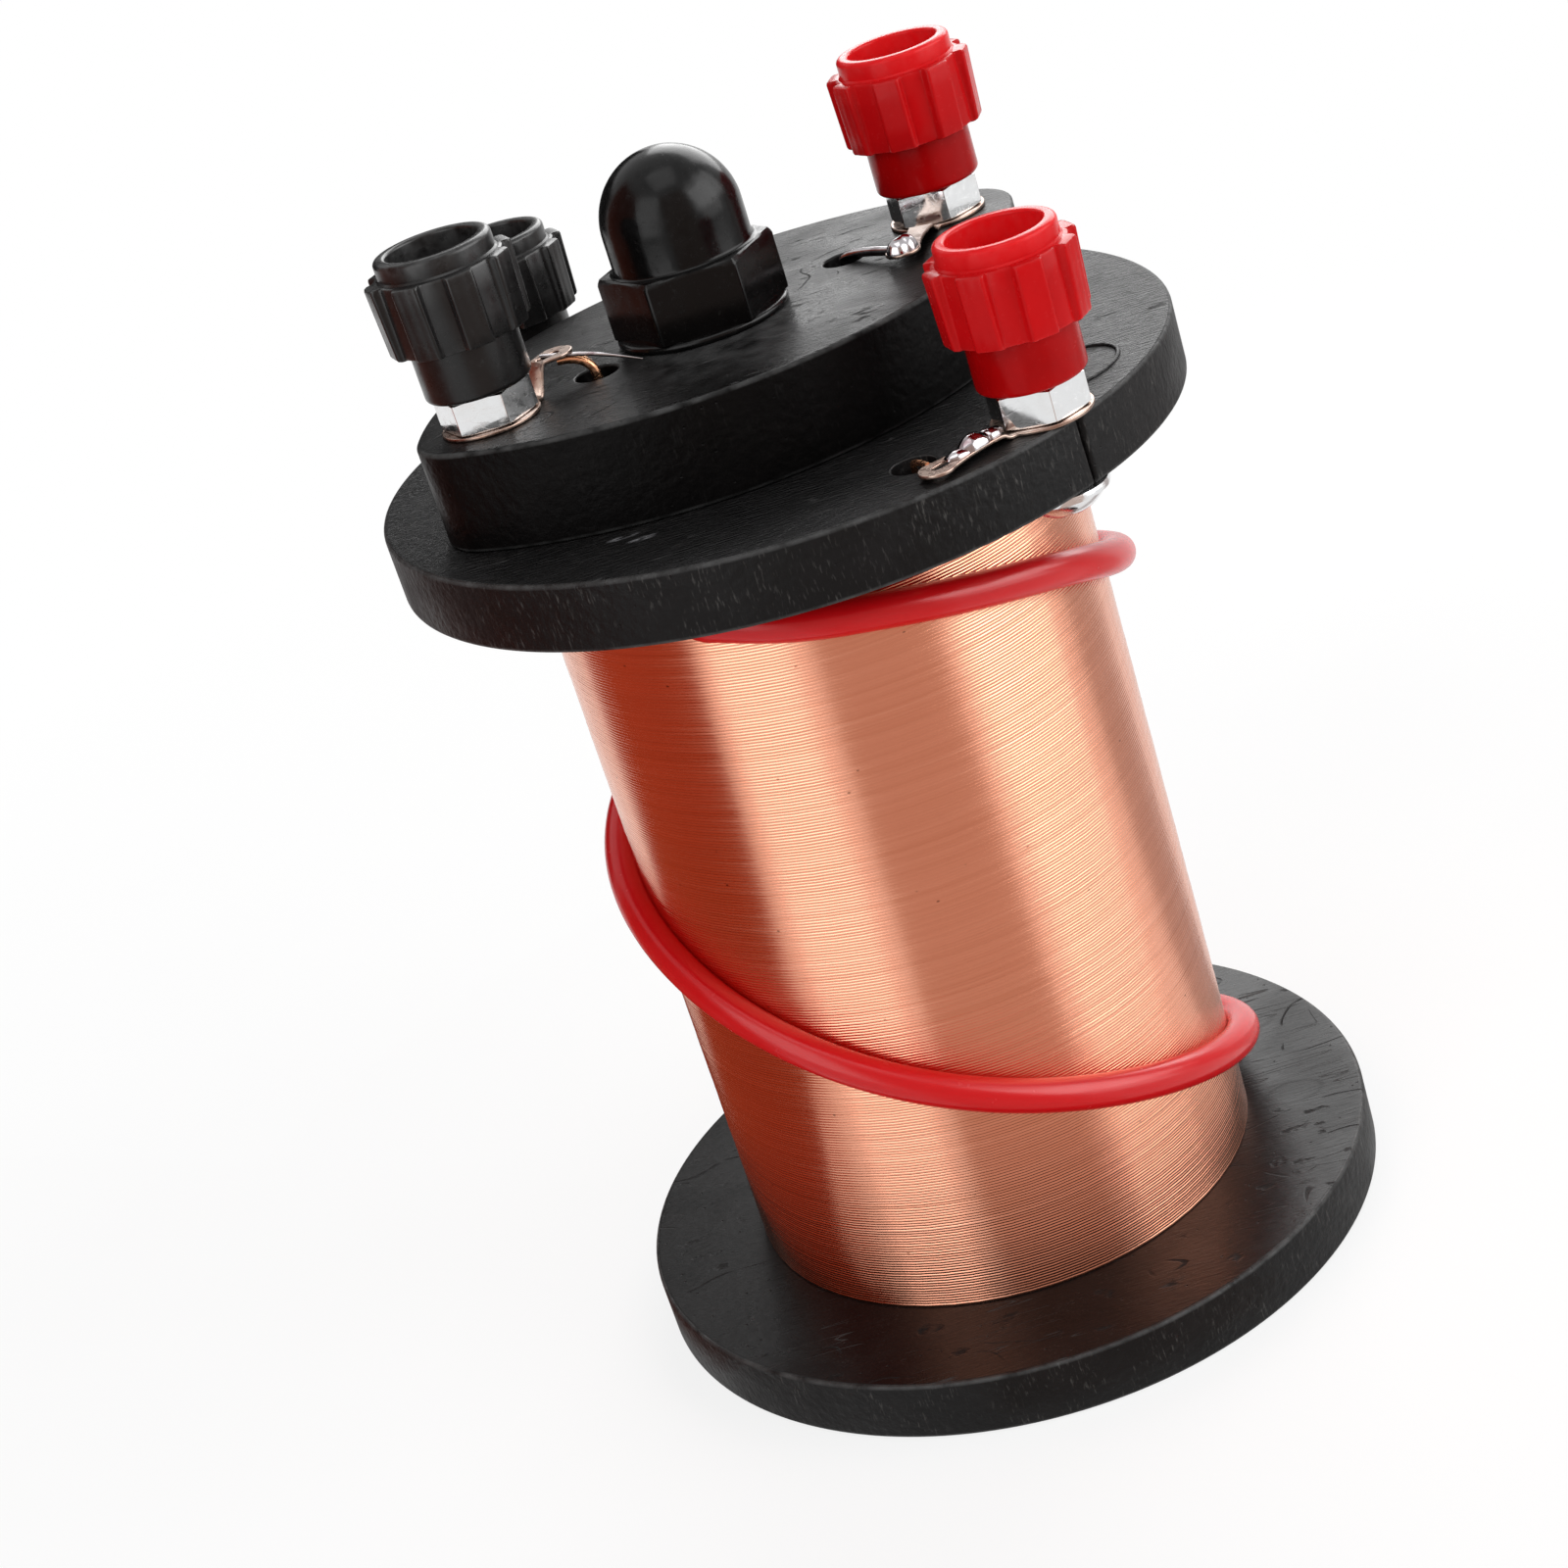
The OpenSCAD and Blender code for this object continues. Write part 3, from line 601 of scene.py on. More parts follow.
@dataclass(frozen=True)
class PressedBoard(Finish):
    """Black pressed board: tool marks, hairlines, pits and stains on its faces, pale flecks on its sides."""

    fleck: Colour = (0.10, 0.095, 0.09)
    fleck_share: float = 0.5
    # Pale colour of tool marks and edges; on the edges it is partly a painted highlight.
    edge: Colour = (0.10, 0.10, 0.10)
    scratch: float = 0.3
    side_roughness: float = 0.5
    grain_depth: float = 0.15
    tooling: float = 0.2
    hairlines: float = 0.56
    gloss: float = 0.16
    rub: float = 0.6
    dull: float = 0.3
    dent: float = 0.3
    pit: float = 0.5
    scuff: Colour = (0.22, 0.22, 0.23)
    scuff_size: tuple[float, float] = (1.5, 0.5)
    scuffs: tuple[Colour, ...] = ()

    def lines(self, graph: Graph) -> tuple[Socket, Socket]:
        """Hairlines: long straight tool marks in two directions, and shorter curved ones.

        Args:
            graph: Graph of the material.

        Returns:
            The straight lines, and all lines.
        """
        along = graph.scratches(turn=8.0, length=26.0, width=0.006, share=0.55, slim=14.0)
        across = graph.scratches(turn=118.0, length=22.0, width=0.006, share=0.58, slim=14.0)
        straight = graph.most(along, across)
        wide = graph.scratches(turn=71.0, length=16.0, width=0.006, share=self.hairlines, slim=1.6)
        tight = graph.scratches(turn=15.0, length=9.0, width=0.005, share=0.6, slim=1.3)
        return straight, graph.most(straight, graph.most(wide, tight))

    def shades(self, graph: Graph, side: Socket, marks: Socket) -> Socket:
        """Colour: cloud, pale flecks, rubbed tool marks, scuffs, and pale edges that are partly wear and
        partly a painted highlight.

        Args:
            graph: Graph of the material.
            side: 1 on the sawn side.
            marks: 1 on the tool marks of the faces.

        Returns:
            The colour.
        """
        plain = graph.coords()
        cloud = graph.noise(plain, 0.3, 6.0)
        base = graph.mix(graph.band(cloud, 0.35, 0.7), self.colour, tuple(1.8 * c for c in self.colour))
        specks = graph.band(graph.noise(graph.coords((1.5, 1.5, 0.32)), 3.2, 4.0), 0.57, 0.72)
        flecks = graph.times(specks, graph.band(graph.noise(plain, 0.35, 4.0), 0.4, 0.62))
        flecks = graph.times(flecks, graph.band(side, 0.0, 1.0, 0.2, self.fleck_share))
        base = graph.mix(flecks, base, self.fleck)
        base = graph.mix(graph.times(marks, self.scratch), base, self.edge)
        broken = graph.band(graph.noise(graph.coords((0.6, 2.5, 1.0)), 1.4, 4.0), 0.42, 0.6)
        for middle in self.scuffs:
            base = graph.mix(graph.times(graph.oval(middle, *self.scuff_size), broken), base, self.scuff)
        # Pale edges: partly wear, partly a painted highlight where the rounded edge catches light.
        rub = graph.times(graph.mark("wear"), graph.band(graph.noise(plain, 0.5, 6.0), 0.28, 0.62))
        return graph.mix(graph.times(rub, self.rub), base, self.edge)

    def draw(self, graph: Graph) -> None:
        """Layer colour, smears, stains, drops, hairlines, pits and grain.

        Args:
            graph: Graph of the material.
        """
        plain, side = graph.coords(), graph.mark("side")
        face = graph.calc("SUBTRACT", 1.0, side)
        straight, every_line = self.lines(graph)
        lines = graph.times(every_line, face)
        stain = graph.cells(graph.coords((0.08, 0.13, 0.1), (0.0, 0.0, 33.0)), 1.0)
        ring = graph.times(graph.band(stain, 0.2, 0.23, 0.0, 0.25), graph.band(stain, 0.26, 0.23))
        ring = graph.times(ring, face)
        drops = graph.noise(graph.coords((0.7, 1.3, 1.0)), 0.4, 3.0)
        spots = graph.times(graph.band(drops, 0.64, 0.7), face)
        smear = graph.noise(plain, 0.11, 6.0, 0.6)
        rough = graph.band(smear, 0.35, 0.65, self.roughness - 0.07, self.roughness + 0.08)
        rough = graph.plus(rough, graph.times(side, self.side_roughness - self.roughness))
        rough = graph.plus(rough, graph.times(graph.most(ring, lines), self.dull))
        rough = graph.plus(rough, graph.times(spots, self.dull))
        pits = graph.times(graph.band(graph.cells(plain, 0.7), 0.04, 0.09, 1.0, 0.0), self.pit)
        dents = graph.plus(pits, graph.times(graph.most(lines, spots), self.dent))
        tooled = graph.noise(graph.coords((0.75, 4.2, 1.0), (0.0, 0.0, 4.0)), 1.0, 5.0, 0.4)
        fine = graph.times(graph.noise(plain, 1.3, 6.0), graph.band(side, 0.0, 1.0, 0.12, 1.0))
        fine = graph.plus(fine, graph.times(graph.times(tooled, face), self.tooling))
        relief = graph.bump(graph.calc("SUBTRACT", fine, dents), self.grain_depth)
        base = self.shades(graph, side, graph.times(straight, face))
        graph.set(Base_Color=base, Roughness=rough, Normal=relief, Specular_IOR_Level=self.gloss)


@dataclass(frozen=True)
class MouldedPlastic(Finish):
    """Glossy moulded plastic: slight flow clouds, a painted lighter colour on upper parts as if lit from
    above, orange peel, dust and rubbed edges.
    """

    edge: Colour = (0.5, 0.5, 0.5)
    rub: float = 0.25
    dust: float = 0.1
    gloss: float = 0.35
    dull: float = 0.2
    peel: float = 0.006
    painted_top_light: Colour | None = None

    def draw(self, graph: Graph) -> None:
        """Layer clouds, a painted lighter colour where the side mark is high, dust and edge wear.

        Args:
            graph: Graph of the material.
        """
        plain = graph.coords()
        cloud = graph.noise(plain, 0.3, 4.0)
        base = graph.mix(graph.band(cloud, 0.3, 0.75), self.colour, tuple(1.25 * c for c in self.colour))
        if self.painted_top_light is not None:
            # Painted light: where the side mark is high the colour goes to the lighter red, as if lit from
            # above.
            base = graph.mix(graph.mark("side"), base, self.painted_top_light)
        dust = graph.band(graph.noise(plain, 2.4, 8.0), 0.6, 0.74)
        base = graph.mix(graph.times(dust, self.dust), base, self.edge)
        rub = graph.times(graph.mark("wear"), graph.band(graph.noise(plain, 1.1, 4.0), 0.35, 0.7))
        base = graph.mix(graph.times(rub, self.rub), base, self.edge)
        haze = graph.noise(plain, 0.8, 5.0)
        rough = graph.band(haze, 0.3, 0.75, self.roughness - 0.05, self.roughness + 0.08)
        rough = graph.plus(rough, graph.times(dust, self.dull))
        peel = graph.bump(graph.noise(plain, 1.7, 2.0), self.peel)
        graph.set(Base_Color=base, Roughness=rough, Normal=peel)
        graph.set(Specular_IOR_Level=self.gloss)


@dataclass(frozen=True)
class WoundCopper(Finish):
    """Enamelled copper wire on a coil: turns a shade apart, faint rubbed streaks and a few dark specks."""

    deep: Colour = (0.58, 0.20, 0.10)
    pale: Colour = (0.92, 0.52, 0.38)
    speck: Colour = (0.2, 0.08, 0.04)
    speck_share: float = 0.7

    def draw(self, graph: Graph) -> None:
        """Layer turn shades, streaks along the wire and specks.

        Args:
            graph: Graph of the material.
        """
        shades = graph.noise(graph.coords((0.012, 0.012, 2.4)), 1.0, 5.0)
        base = graph.mix(graph.band(shades, 0.4, 0.8, 0.0, 0.35), self.colour, self.deep)
        streaks = graph.noise(graph.coords((0.05, 0.05, 3.1)), 1.0, 6.0)
        base = graph.mix(graph.band(streaks, 0.58, 0.85, 0.0, 0.3), base, self.pale)
        specks = graph.band(graph.cells(graph.coords((1.0, 1.0, 1.6)), 0.3), 0.03, 0.055, 1.0, 0.0)
        base = graph.mix(graph.times(specks, self.speck_share), base, self.speck)
        rough = graph.band(streaks, 0.3, 0.8, self.roughness - 0.04, self.roughness + 0.06)
        graph.set(Base_Color=base, Roughness=rough, Metallic=1.0, Coat_Weight=0.12, Coat_Roughness=0.2)


@dataclass(frozen=True)
class Metal(Finish):
    """Plated or bare metal: tarnish in patches, fine scratches and a slightly uneven face."""

    tarnish: Colour = (0.4, 0.33, 0.26)
    tarnish_share: float = 0.3
    uneven: float = 0.008
    dull: float = 0.12

    def draw(self, graph: Graph) -> None:
        """Layer tarnish, scratches and unevenness.

        Args:
            graph: Graph of the material.
        """
        plain = graph.coords()
        patches = graph.band(graph.noise(plain, 0.7, 6.0), 0.48, 0.72, 0.0, self.tarnish_share)
        along = graph.scratches(turn=35.0, length=3.0, width=0.02, share=0.4)
        across = graph.scratches(turn=100.0, length=4.0, width=0.02, share=0.42)
        lines = graph.most(along, across)
        cloud = graph.noise(plain, 1.6, 5.0)
        rough = graph.band(cloud, 0.3, 0.75, self.roughness - 0.04, self.roughness + 0.1)
        rough = graph.plus(rough, graph.times(lines, self.dull))
        graph.set(Base_Color=graph.mix(patches, self.colour, self.tarnish), Roughness=rough, Metallic=1.0)
        graph.set(Normal=graph.bump(graph.noise(plain, 0.9, 3.0), self.uneven))


@dataclass(frozen=True)
class TurnedIron(Finish):
    """Soft iron rod: fine rings from the lathe, and brown spots of rust."""

    rust: Colour = (0.16, 0.07, 0.035)
    ring_depth: float = 0.01

    def draw(self, graph: Graph) -> None:
        """Layer lathe rings and rust.

        Args:
            graph: Graph of the material.
        """
        rings = graph.noise(graph.coords((0.02, 0.02, 5.0)), 1.0, 4.0)
        spots = graph.band(graph.noise(graph.coords(), 0.5, 7.0), 0.57, 0.7, 0.0, 0.8)
        base = graph.mix(graph.band(rings, 0.35, 0.7), self.colour, tuple(0.7 * c for c in self.colour))
        rough = graph.plus(graph.band(rings, 0.3, 0.7, self.roughness - 0.1, self.roughness + 0.1), spots)
        graph.set(Base_Color=graph.mix(spots, base, self.rust), Roughness=rough)
        graph.set(Metallic=graph.calc("SUBTRACT", 1.0, spots), Normal=graph.bump(rings, self.ring_depth))


@dataclass(frozen=True)
class Card(Finish):
    """Brown card tube: paper fibres along the tube, and blotches."""

    dark: Colour = (0.20, 0.12, 0.06)
    fibre_depth: float = 0.03

    def draw(self, graph: Graph) -> None:
        """Layer fibres and blotches.

        Args:
            graph: Graph of the material.
        """
        fibres = graph.noise(graph.coords((2.5, 2.5, 0.5)), 1.0, 5.0)
        blotch = graph.noise(graph.coords(), 0.22, 4.0)
        base = graph.mix(graph.band(fibres, 0.35, 0.7, 0.0, 0.6), self.colour, self.dark)
        base = graph.mix(graph.band(blotch, 0.45, 0.75, 0.0, 0.4), base, self.dark)
        graph.set(Base_Color=base, Roughness=self.roughness, Normal=graph.bump(fibres, self.fibre_depth))


@dataclass(frozen=True)
class SoftSleeve(Finish):
    """Red insulation of a hook-up wire: satin, with faint rub marks."""

    pale: Colour = (0.6, 0.018, 0.02)
    gloss: float = 0.32

    def draw(self, graph: Graph) -> None:
        """Layer rub marks over an even colour.

        Args:
            graph: Graph of the material.
        """
        marks = graph.band(graph.noise(graph.coords((0.3, 0.3, 1.0)), 0.6, 4.0), 0.5, 0.85, 0.0, 0.3)
        haze = graph.noise(graph.coords(), 0.5, 3.0)
        rough = graph.band(haze, 0.3, 0.75, self.roughness - 0.03, self.roughness + 0.04)
        graph.set(Base_Color=graph.mix(marks, self.colour, self.pale), Roughness=rough)
        graph.set(Specular_IOR_Level=self.gloss)


FLANGE_BLACK = PressedBoard(
    "flange_black",
    (0.003, 0.0028, 0.0029),
    0.34,
    tooling=2.0,
    hairlines=0.62,
    gloss=0.15,
    scuffs=((-14.0, -21.8, 82.0), (-12.5, -23.4, 82.0)),
)
BASE_BLACK = PressedBoard(
    "flange_black", (0.0034, 0.003, 0.003), 0.33, "_base", tooling=0.2, hairlines=0.44, gloss=0.15
)
PLATE_BLACK = PressedBoard(
    "plate_black",
    (0.0022, 0.002, 0.002),
    0.3,
    fleck_share=0.06,
    side_roughness=0.42,
    grain_depth=0.12,
    tooling=0.6,
    gloss=0.06,
)
COPPER_WIRE = WoundCopper("copper_wire", (0.80, 0.355, 0.23), 0.2)
MARKER_RED = SoftSleeve("marker_red", (0.57, 0.004, 0.0065), 0.24)
NICKEL = Metal("nickel", (0.76, 0.765, 0.77), 0.1, tarnish_share=0.1, uneven=0.004)
LUG_TINNED = Metal("lug_tinned", (0.36, 0.27, 0.225), 0.27, tarnish=(0.27, 0.15, 0.105), tarnish_share=0.7)
LEAD_COPPER = Metal("lead_copper", (0.80, 0.42, 0.24), 0.22, tarnish=(0.45, 0.18, 0.08))
SOLDER = Metal("solder", (0.44, 0.42, 0.43), 0.09, tarnish=(0.12, 0.05, 0.06), tarnish_share=0.8)
SOFT_IRON = TurnedIron("soft_iron", (0.36, 0.34, 0.32), 0.36)
CAP_BLACK = MouldedPlastic(
    "cap_black", (0.0022, 0.002, 0.002), 0.2, edge=(0.12, 0.12, 0.12), rub=0.08, dust=0.02, gloss=0.16
)
KNOB_RED = MouldedPlastic(
    "knob_red",
    (0.33, 0.0013, 0.002),
    0.2,
    edge=(0.75, 0.1, 0.1),
    rub=0.15,
    dust=0.006,
    gloss=0.09,
    # Painted top light: the lighter red of the rim, the cup and the upper drum.
    painted_top_light=(0.74, 0.008, 0.011),
)
KNOB_BLACK = MouldedPlastic(
    "knob_black", (0.007, 0.0066, 0.0066), 0.28, edge=(0.13, 0.13, 0.13), rub=0.25, dust=0.05, gloss=0.3
)
INSERT_BRASS = Metal("insert_brass", (0.78, 0.56, 0.24), 0.24, tarnish=(0.42, 0.26, 0.1))
TUBE_CARD = Card("tube_paper", (0.42, 0.28, 0.16), 0.85)


def add_piece(
    name: str, shell: Shell, body: str, finish: Finish, replaced: tuple[str, ...] = (), crease: float = 42.0
) -> None:
    """Write a shell to a mesh and put the piece on its body.

    Args:
        name: Name of the piece.
        shell: Its surface.
        body: Body of the frame that it moves with.
        finish: Its finish.
        replaced: Nodes of the frame that it stands for.
        crease: Angle in degrees past which an edge is drawn sharp.
    """
    mesh = bpy.data.meshes.new(name)
    corners = np.concatenate([f.ravel() for f in shell.faces])
    sizes = np.concatenate([np.full(len(f), f.shape[1]) for f in shell.faces])
    mesh.vertices.add(len(shell.points))
    mesh.vertices.foreach_set("co", (shell.points * MM).astype(np.float32).ravel())
    mesh.loops.add(len(corners))
    mesh.loops.foreach_set("vertex_index", corners.astype(np.int32))
    mesh.polygons.add(len(sizes))
    mesh.polygons.foreach_set("loop_start", (np.cumsum(sizes) - sizes).astype(np.int32))
    for label, values in (("wear", shell.wear), ("side", shell.side)):
        mesh.attributes.new(label, "FLOAT", "POINT").data.foreach_set("value", values.astype(np.float32))
    mesh.update(calc_edges=True)
    mesh.set_sharp_from_angle(angle=math.radians(crease))
    smooth = np.concatenate([np.full(len(f), not flat) for f, flat in zip(shell.faces, shell.flat)])
    mesh.polygons.foreach_set("use_smooth", smooth)
    mesh.materials.append(finish.material())
    piece = bpy.data.objects.new(name, mesh)
    bpy.context.scene.collection.objects.link(piece)
    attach(piece, body)
    if replaced:
        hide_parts(*replaced)
    triangles = int((sizes - 2).sum())
    LOG.info("%s: %d triangles on %s", name, triangles, body)


@dataclass(frozen=True)
class Knob:
    """Ribbed terminal knob: a cup on a foot, with a pocket for its insert. Heights are from its foot."""

    height: float
    collar: float = 4.8
    drum: float = 5.35
    sleeve: float = 4.4
    tip: float = 6.0
    lean: float = 0.25
    ribs: int = 8
    rib_width: float = 2.3
    rib_low: float = 4.3
    rib_high: float = 10.3
    rounding: float = 0.28
    foot_edge: float = 0.45
    rim_edge: float = 0.42
    cup: float = 3.75
    cup_depth: float = 6.0
    bore: float = 2.2
    pocket: float = 3.15
    pocket_depth: float = 4.9
    root_gap: float = 0.12
    root_step: float = 0.14
    neck: float = 0.12
    shoulder: float = 0.15
    lip: float = 0.25
    cup_edge: float = 0.4
    ease: float = 0.3
    # Painted light levels of each band: how far the knob's colour goes towards its lighter red, as if lit
    # from above.
    painted_light_drum: float = 0.4
    painted_light_shoulder: float = 0.6
    painted_light_cup: float = 1.0
    painted_light_well: float = 0.3

    def ribbed(self, tip: Array, collar: Array) -> Array:
        """Outlines with ribs, one for each pair of radii.

        Each rib is a parallel-sided tooth with rounded corners. From the valley it follows the collar's
        circle, a wall at half the rib's width, a quarter arc, the tip's circle, and the same mirrored.

        Args:
            tip: Radius over the ribs.
            collar: Radius between the ribs.

        Returns:
            Points by outline and by place.
        """
        half, c = self.rib_width / 2.0, self.rounding
        tip, collar = np.asarray(tip, float)[:, None], np.asarray(collar, float)[:, None]
        root = np.degrees(np.arcsin((half + self.root_gap) / collar))
        valley = -180.0 / self.ribs + (180.0 / self.ribs - root) * np.linspace(0.0, 1.0, 6)
        floor = polar(collar, valley)
        base = np.stack([np.sqrt(collar**2 - half**2) + self.root_step, np.full_like(collar, -half)], -1)
        q = np.linspace(-90.0, 0.0, 5)[None]
        bend = np.stack([tip - c + 0.0 * q, np.full_like(tip + q, -half + c)], -1) + polar(c, q)
        y = (half - c) * np.linspace(-1.0, 0.0, 4)[None, 1:]
        crown = np.stack([np.sqrt(tip**2 - y**2), y + 0.0 * tip], -1)
        flank = np.concatenate([floor, base, bend, crown], axis=1)
        mirror = flank[:, -2::-1] * np.array([1.0, -1.0])
        tooth = np.concatenate([flank, mirror[:, :-1]], axis=1)
        spin = np.radians(np.arange(self.ribs) * 360.0 / self.ribs)
        first = np.stack([np.cos(spin), np.sin(spin)], -1)
        second = np.stack([-np.sin(spin), np.cos(spin)], -1)
        turn = np.stack([first, second], 1)
        return np.einsum("mnk,skl->msnl", tooth, turn).reshape(len(tip), -1, 2)

    def outline_bands(self) -> tuple[Array, Array, Array]:
        """Profile of the plain outlines, foot to cup to pocket.

        Returns:
            Pairs of radius and height below the ribs, pairs above them, and the wear of those above.
        """
        top, edge = self.height, self.rim_edge
        foot = arc((self.sleeve - self.foot_edge, self.foot_edge), self.foot_edge, -90.0, 0.0)
        neck = np.array([[self.sleeve, self.rib_low - self.neck], [self.sleeve + self.neck, self.rib_low]])
        step = self.shoulder
        shoulder = np.array([[self.collar + step, self.rib_high], [self.collar, self.rib_high + step]])
        rim = arc((self.collar - edge, top - edge), edge, 0.0, 90.0)
        lip = arc((self.cup + self.lip, top - self.lip), self.lip, 90.0, 180.0, 4)
        floor_z = top - self.cup_depth
        floor = arc((self.cup - self.cup_edge, floor_z + self.cup_edge), self.cup_edge, 0.0, -90.0, 4)
        bore = [[self.bore, floor_z], [self.bore, self.pocket_depth]]
        pocket = [[self.pocket, self.pocket_depth], [self.pocket, 0.0]]
        lower = np.concatenate([foot, neck])
        upper = np.concatenate([shoulder, rim, lip, floor, np.array(bore + pocket)])
        wear = np.zeros(len(upper))
        wear[2 : len(rim) + len(lip) + 2] = 1.0
        return lower, upper, wear

    def shell(self) -> Shell:
        """Stack the outlines into one closed ring: foot, sleeve, ribbed drum, rim, cup, bore and pocket.

        Returns:
            The knob, standing on its foot.
        """
        lower, upper, upper_wear = self.outline_bands()
        c, part = self.rounding, self.ease * self.rounding
        low, high = self.rib_low, self.rib_high
        middle = np.linspace(low + c, high - c, 4)[1:-1]
        heights = np.concatenate([[low, low + part, low + c], middle, [high - c, high - part, high]])
        inset = np.array([c, part, 0.0, 0.0, 0.0, 0.0, part, c])
        rise = (heights - low) / (high - low)
        tips = self.tip - self.lean * (1.0 - rise) - inset
        teeth = raised(self.ribbed(tips, self.drum - inset), heights[:, None].repeat(self.points, 1))
        rays = unit(self.ribbed(np.array([self.tip]), np.array([self.drum]))[0])
        bands = (lower, upper)
        plain = [raised(p[:, None, :1] * rays[None], p[:, None, 1].repeat(self.points, 1)) for p in bands]
        edge = np.array([0.6, 1.0, 0.2, 0.0, 0.0, 0.2, 1.0, 0.6])
        wear = np.concatenate([np.zeros(len(lower)), edge, upper_wear])
        skin = loft(np.concatenate([plain[0], teeth, plain[1]]), Ends.RING, wear)
        # Painted light: the knob is painted lighter from the rim to the cup's floor, less on the shoulder,
        # the drum and in the bore, and not on the foot and sleeve, as if lit from above.
        stops = [0, 3, len(upper) - 5, len(upper) - 4]
        levels = [self.painted_light_shoulder, self.painted_light_cup, self.painted_light_cup, self.painted_light_well]
        painted_top_light = np.interp(np.arange(len(upper)), stops, levels)
        drum = np.full(len(edge), self.painted_light_drum)
        skin.side = np.repeat(np.concatenate([np.zeros(len(lower)), drum, painted_top_light]), self.points)
        return skin

    @property
    def points(self) -> int:
        """Points on an outline."""
        return len(self.ribbed(np.array([self.tip]), np.array([self.drum]))[0])


@dataclass(frozen=True)
class HexNut:
    """Hexagon nut with its corners cut back by a cone at both faces, and a countersunk bore."""

    across: float = 7.0
    height: float = 2.8
    bore: float = 2.05
    sink: float = 0.3
    corner: float = 0.12
    cone: float = 0.25
    face_share: float = 0.97
    edge_share: float = 0.99
    edge_step: float = 0.05

    def shell(self) -> Shell:
        """Stack outlines from the bore's foot round to its top: the cone lowers an edge where it is far out.

        Returns:
            The nut, standing on its lower face.
        """
        side = hexagon(self.across, self.corner)
        ray, far = unit(side), np.linalg.norm(side, axis=-1)
        face, inner = self.across / 2.0 * self.face_share, side * self.edge_share
        cut = np.maximum(far - face, 0.0) * self.cone
        flat = np.full(len(side), 1.0)
        rows = [
            raised(ray * self.bore, flat * self.sink),
            raised(ray * (self.bore + self.sink), flat * 0.0),
            raised(ray * face, flat * 0.0),
            raised(inner, cut),
            raised(side, cut + self.edge_step),
            raised(side, self.height - cut - self.edge_step),
            raised(inner, self.height - cut),
            raised(ray * face, flat * self.height),
            raised(ray * (self.bore + self.sink), flat * self.height),
            raised(ray * self.bore, flat * (self.height - self.sink)),
        ]
        return loft(np.stack(rows), Ends.RING)


@dataclass(frozen=True)
class PanScrew:
    """Terminal screw: a threaded shank on a domed head with a cross recess. Heights are from its seat."""

    down: float
    up: float = 8.4
    radius: float = 2.0
    pitch: float = 0.7
    thread: float = 0.16
    head: float = 3.8
    head_height: float = 2.5
    recess: float = 1.1
    tip: float = 0.5
    tip_share: float = 0.55
    slot_half: float = 0.5
    slot_ease: float = 0.18
    slot_reach: float = 2.2
    slot_end: float = 0.7

    def shank(self) -> Shell:
        """The shank: its radius falls by the thread's depth along a saw-tooth, one pitch higher each turn.

        Returns:
            The capped shank, with the seat at height 0.
        """
        sides, steps = 40, 8
        z = np.arange(-self.down, self.up, self.pitch / steps)[:, None]
        a = np.arange(sides)[None] * 360.0 / sides
        groove = np.abs(2.0 * ((z / self.pitch - a / 360.0) % 1.0) - 1.0)
        taper = np.clip((self.up - z) / self.tip, self.tip_share, 1.0)
        return loft(raised(polar((self.radius - self.thread * groove) * taper, a), z.repeat(sides, 1)))

    def head_shell(self) -> Shell:
        """The head: a spherical cap under a flat face, pushed in along a cross that fades towards its ends.

        Returns:
            The closed head, hung under the shank.
        """
        sides = 64
        rim_steps, rim_z = np.array([-0.05, 0.0, -0.1]), np.array([-0.55, -0.3, 0.0])
        ball = (self.head**2 + self.head_height**2) / (2.0 * self.head_height)
        r = np.concatenate([np.linspace(0.05, 1.0, 22) * (self.head - 0.2), self.head + rim_steps])
        z = -self.head_height + ball - np.sqrt(ball**2 - np.minimum(r, self.head) ** 2)
        z[-3:] = rim_z
        plan = polar(r[:, None], np.arange(sides)[None] * 360.0 / sides)
        narrow, far = np.abs(plan).min(axis=-1), np.linalg.norm(plan, axis=-1)
        cross = smooth_step((self.slot_half - narrow) / self.slot_ease)
        cross *= smooth_step((self.slot_reach - far) / self.slot_end)
        return loft(raised(plan, z[:, None] + self.recess * cross)).placed((0.0, 0.0, -self.down))

    def shell(self) -> Shell:
        """Shank and head."""
        return merged([self.shank(), self.head_shell()])


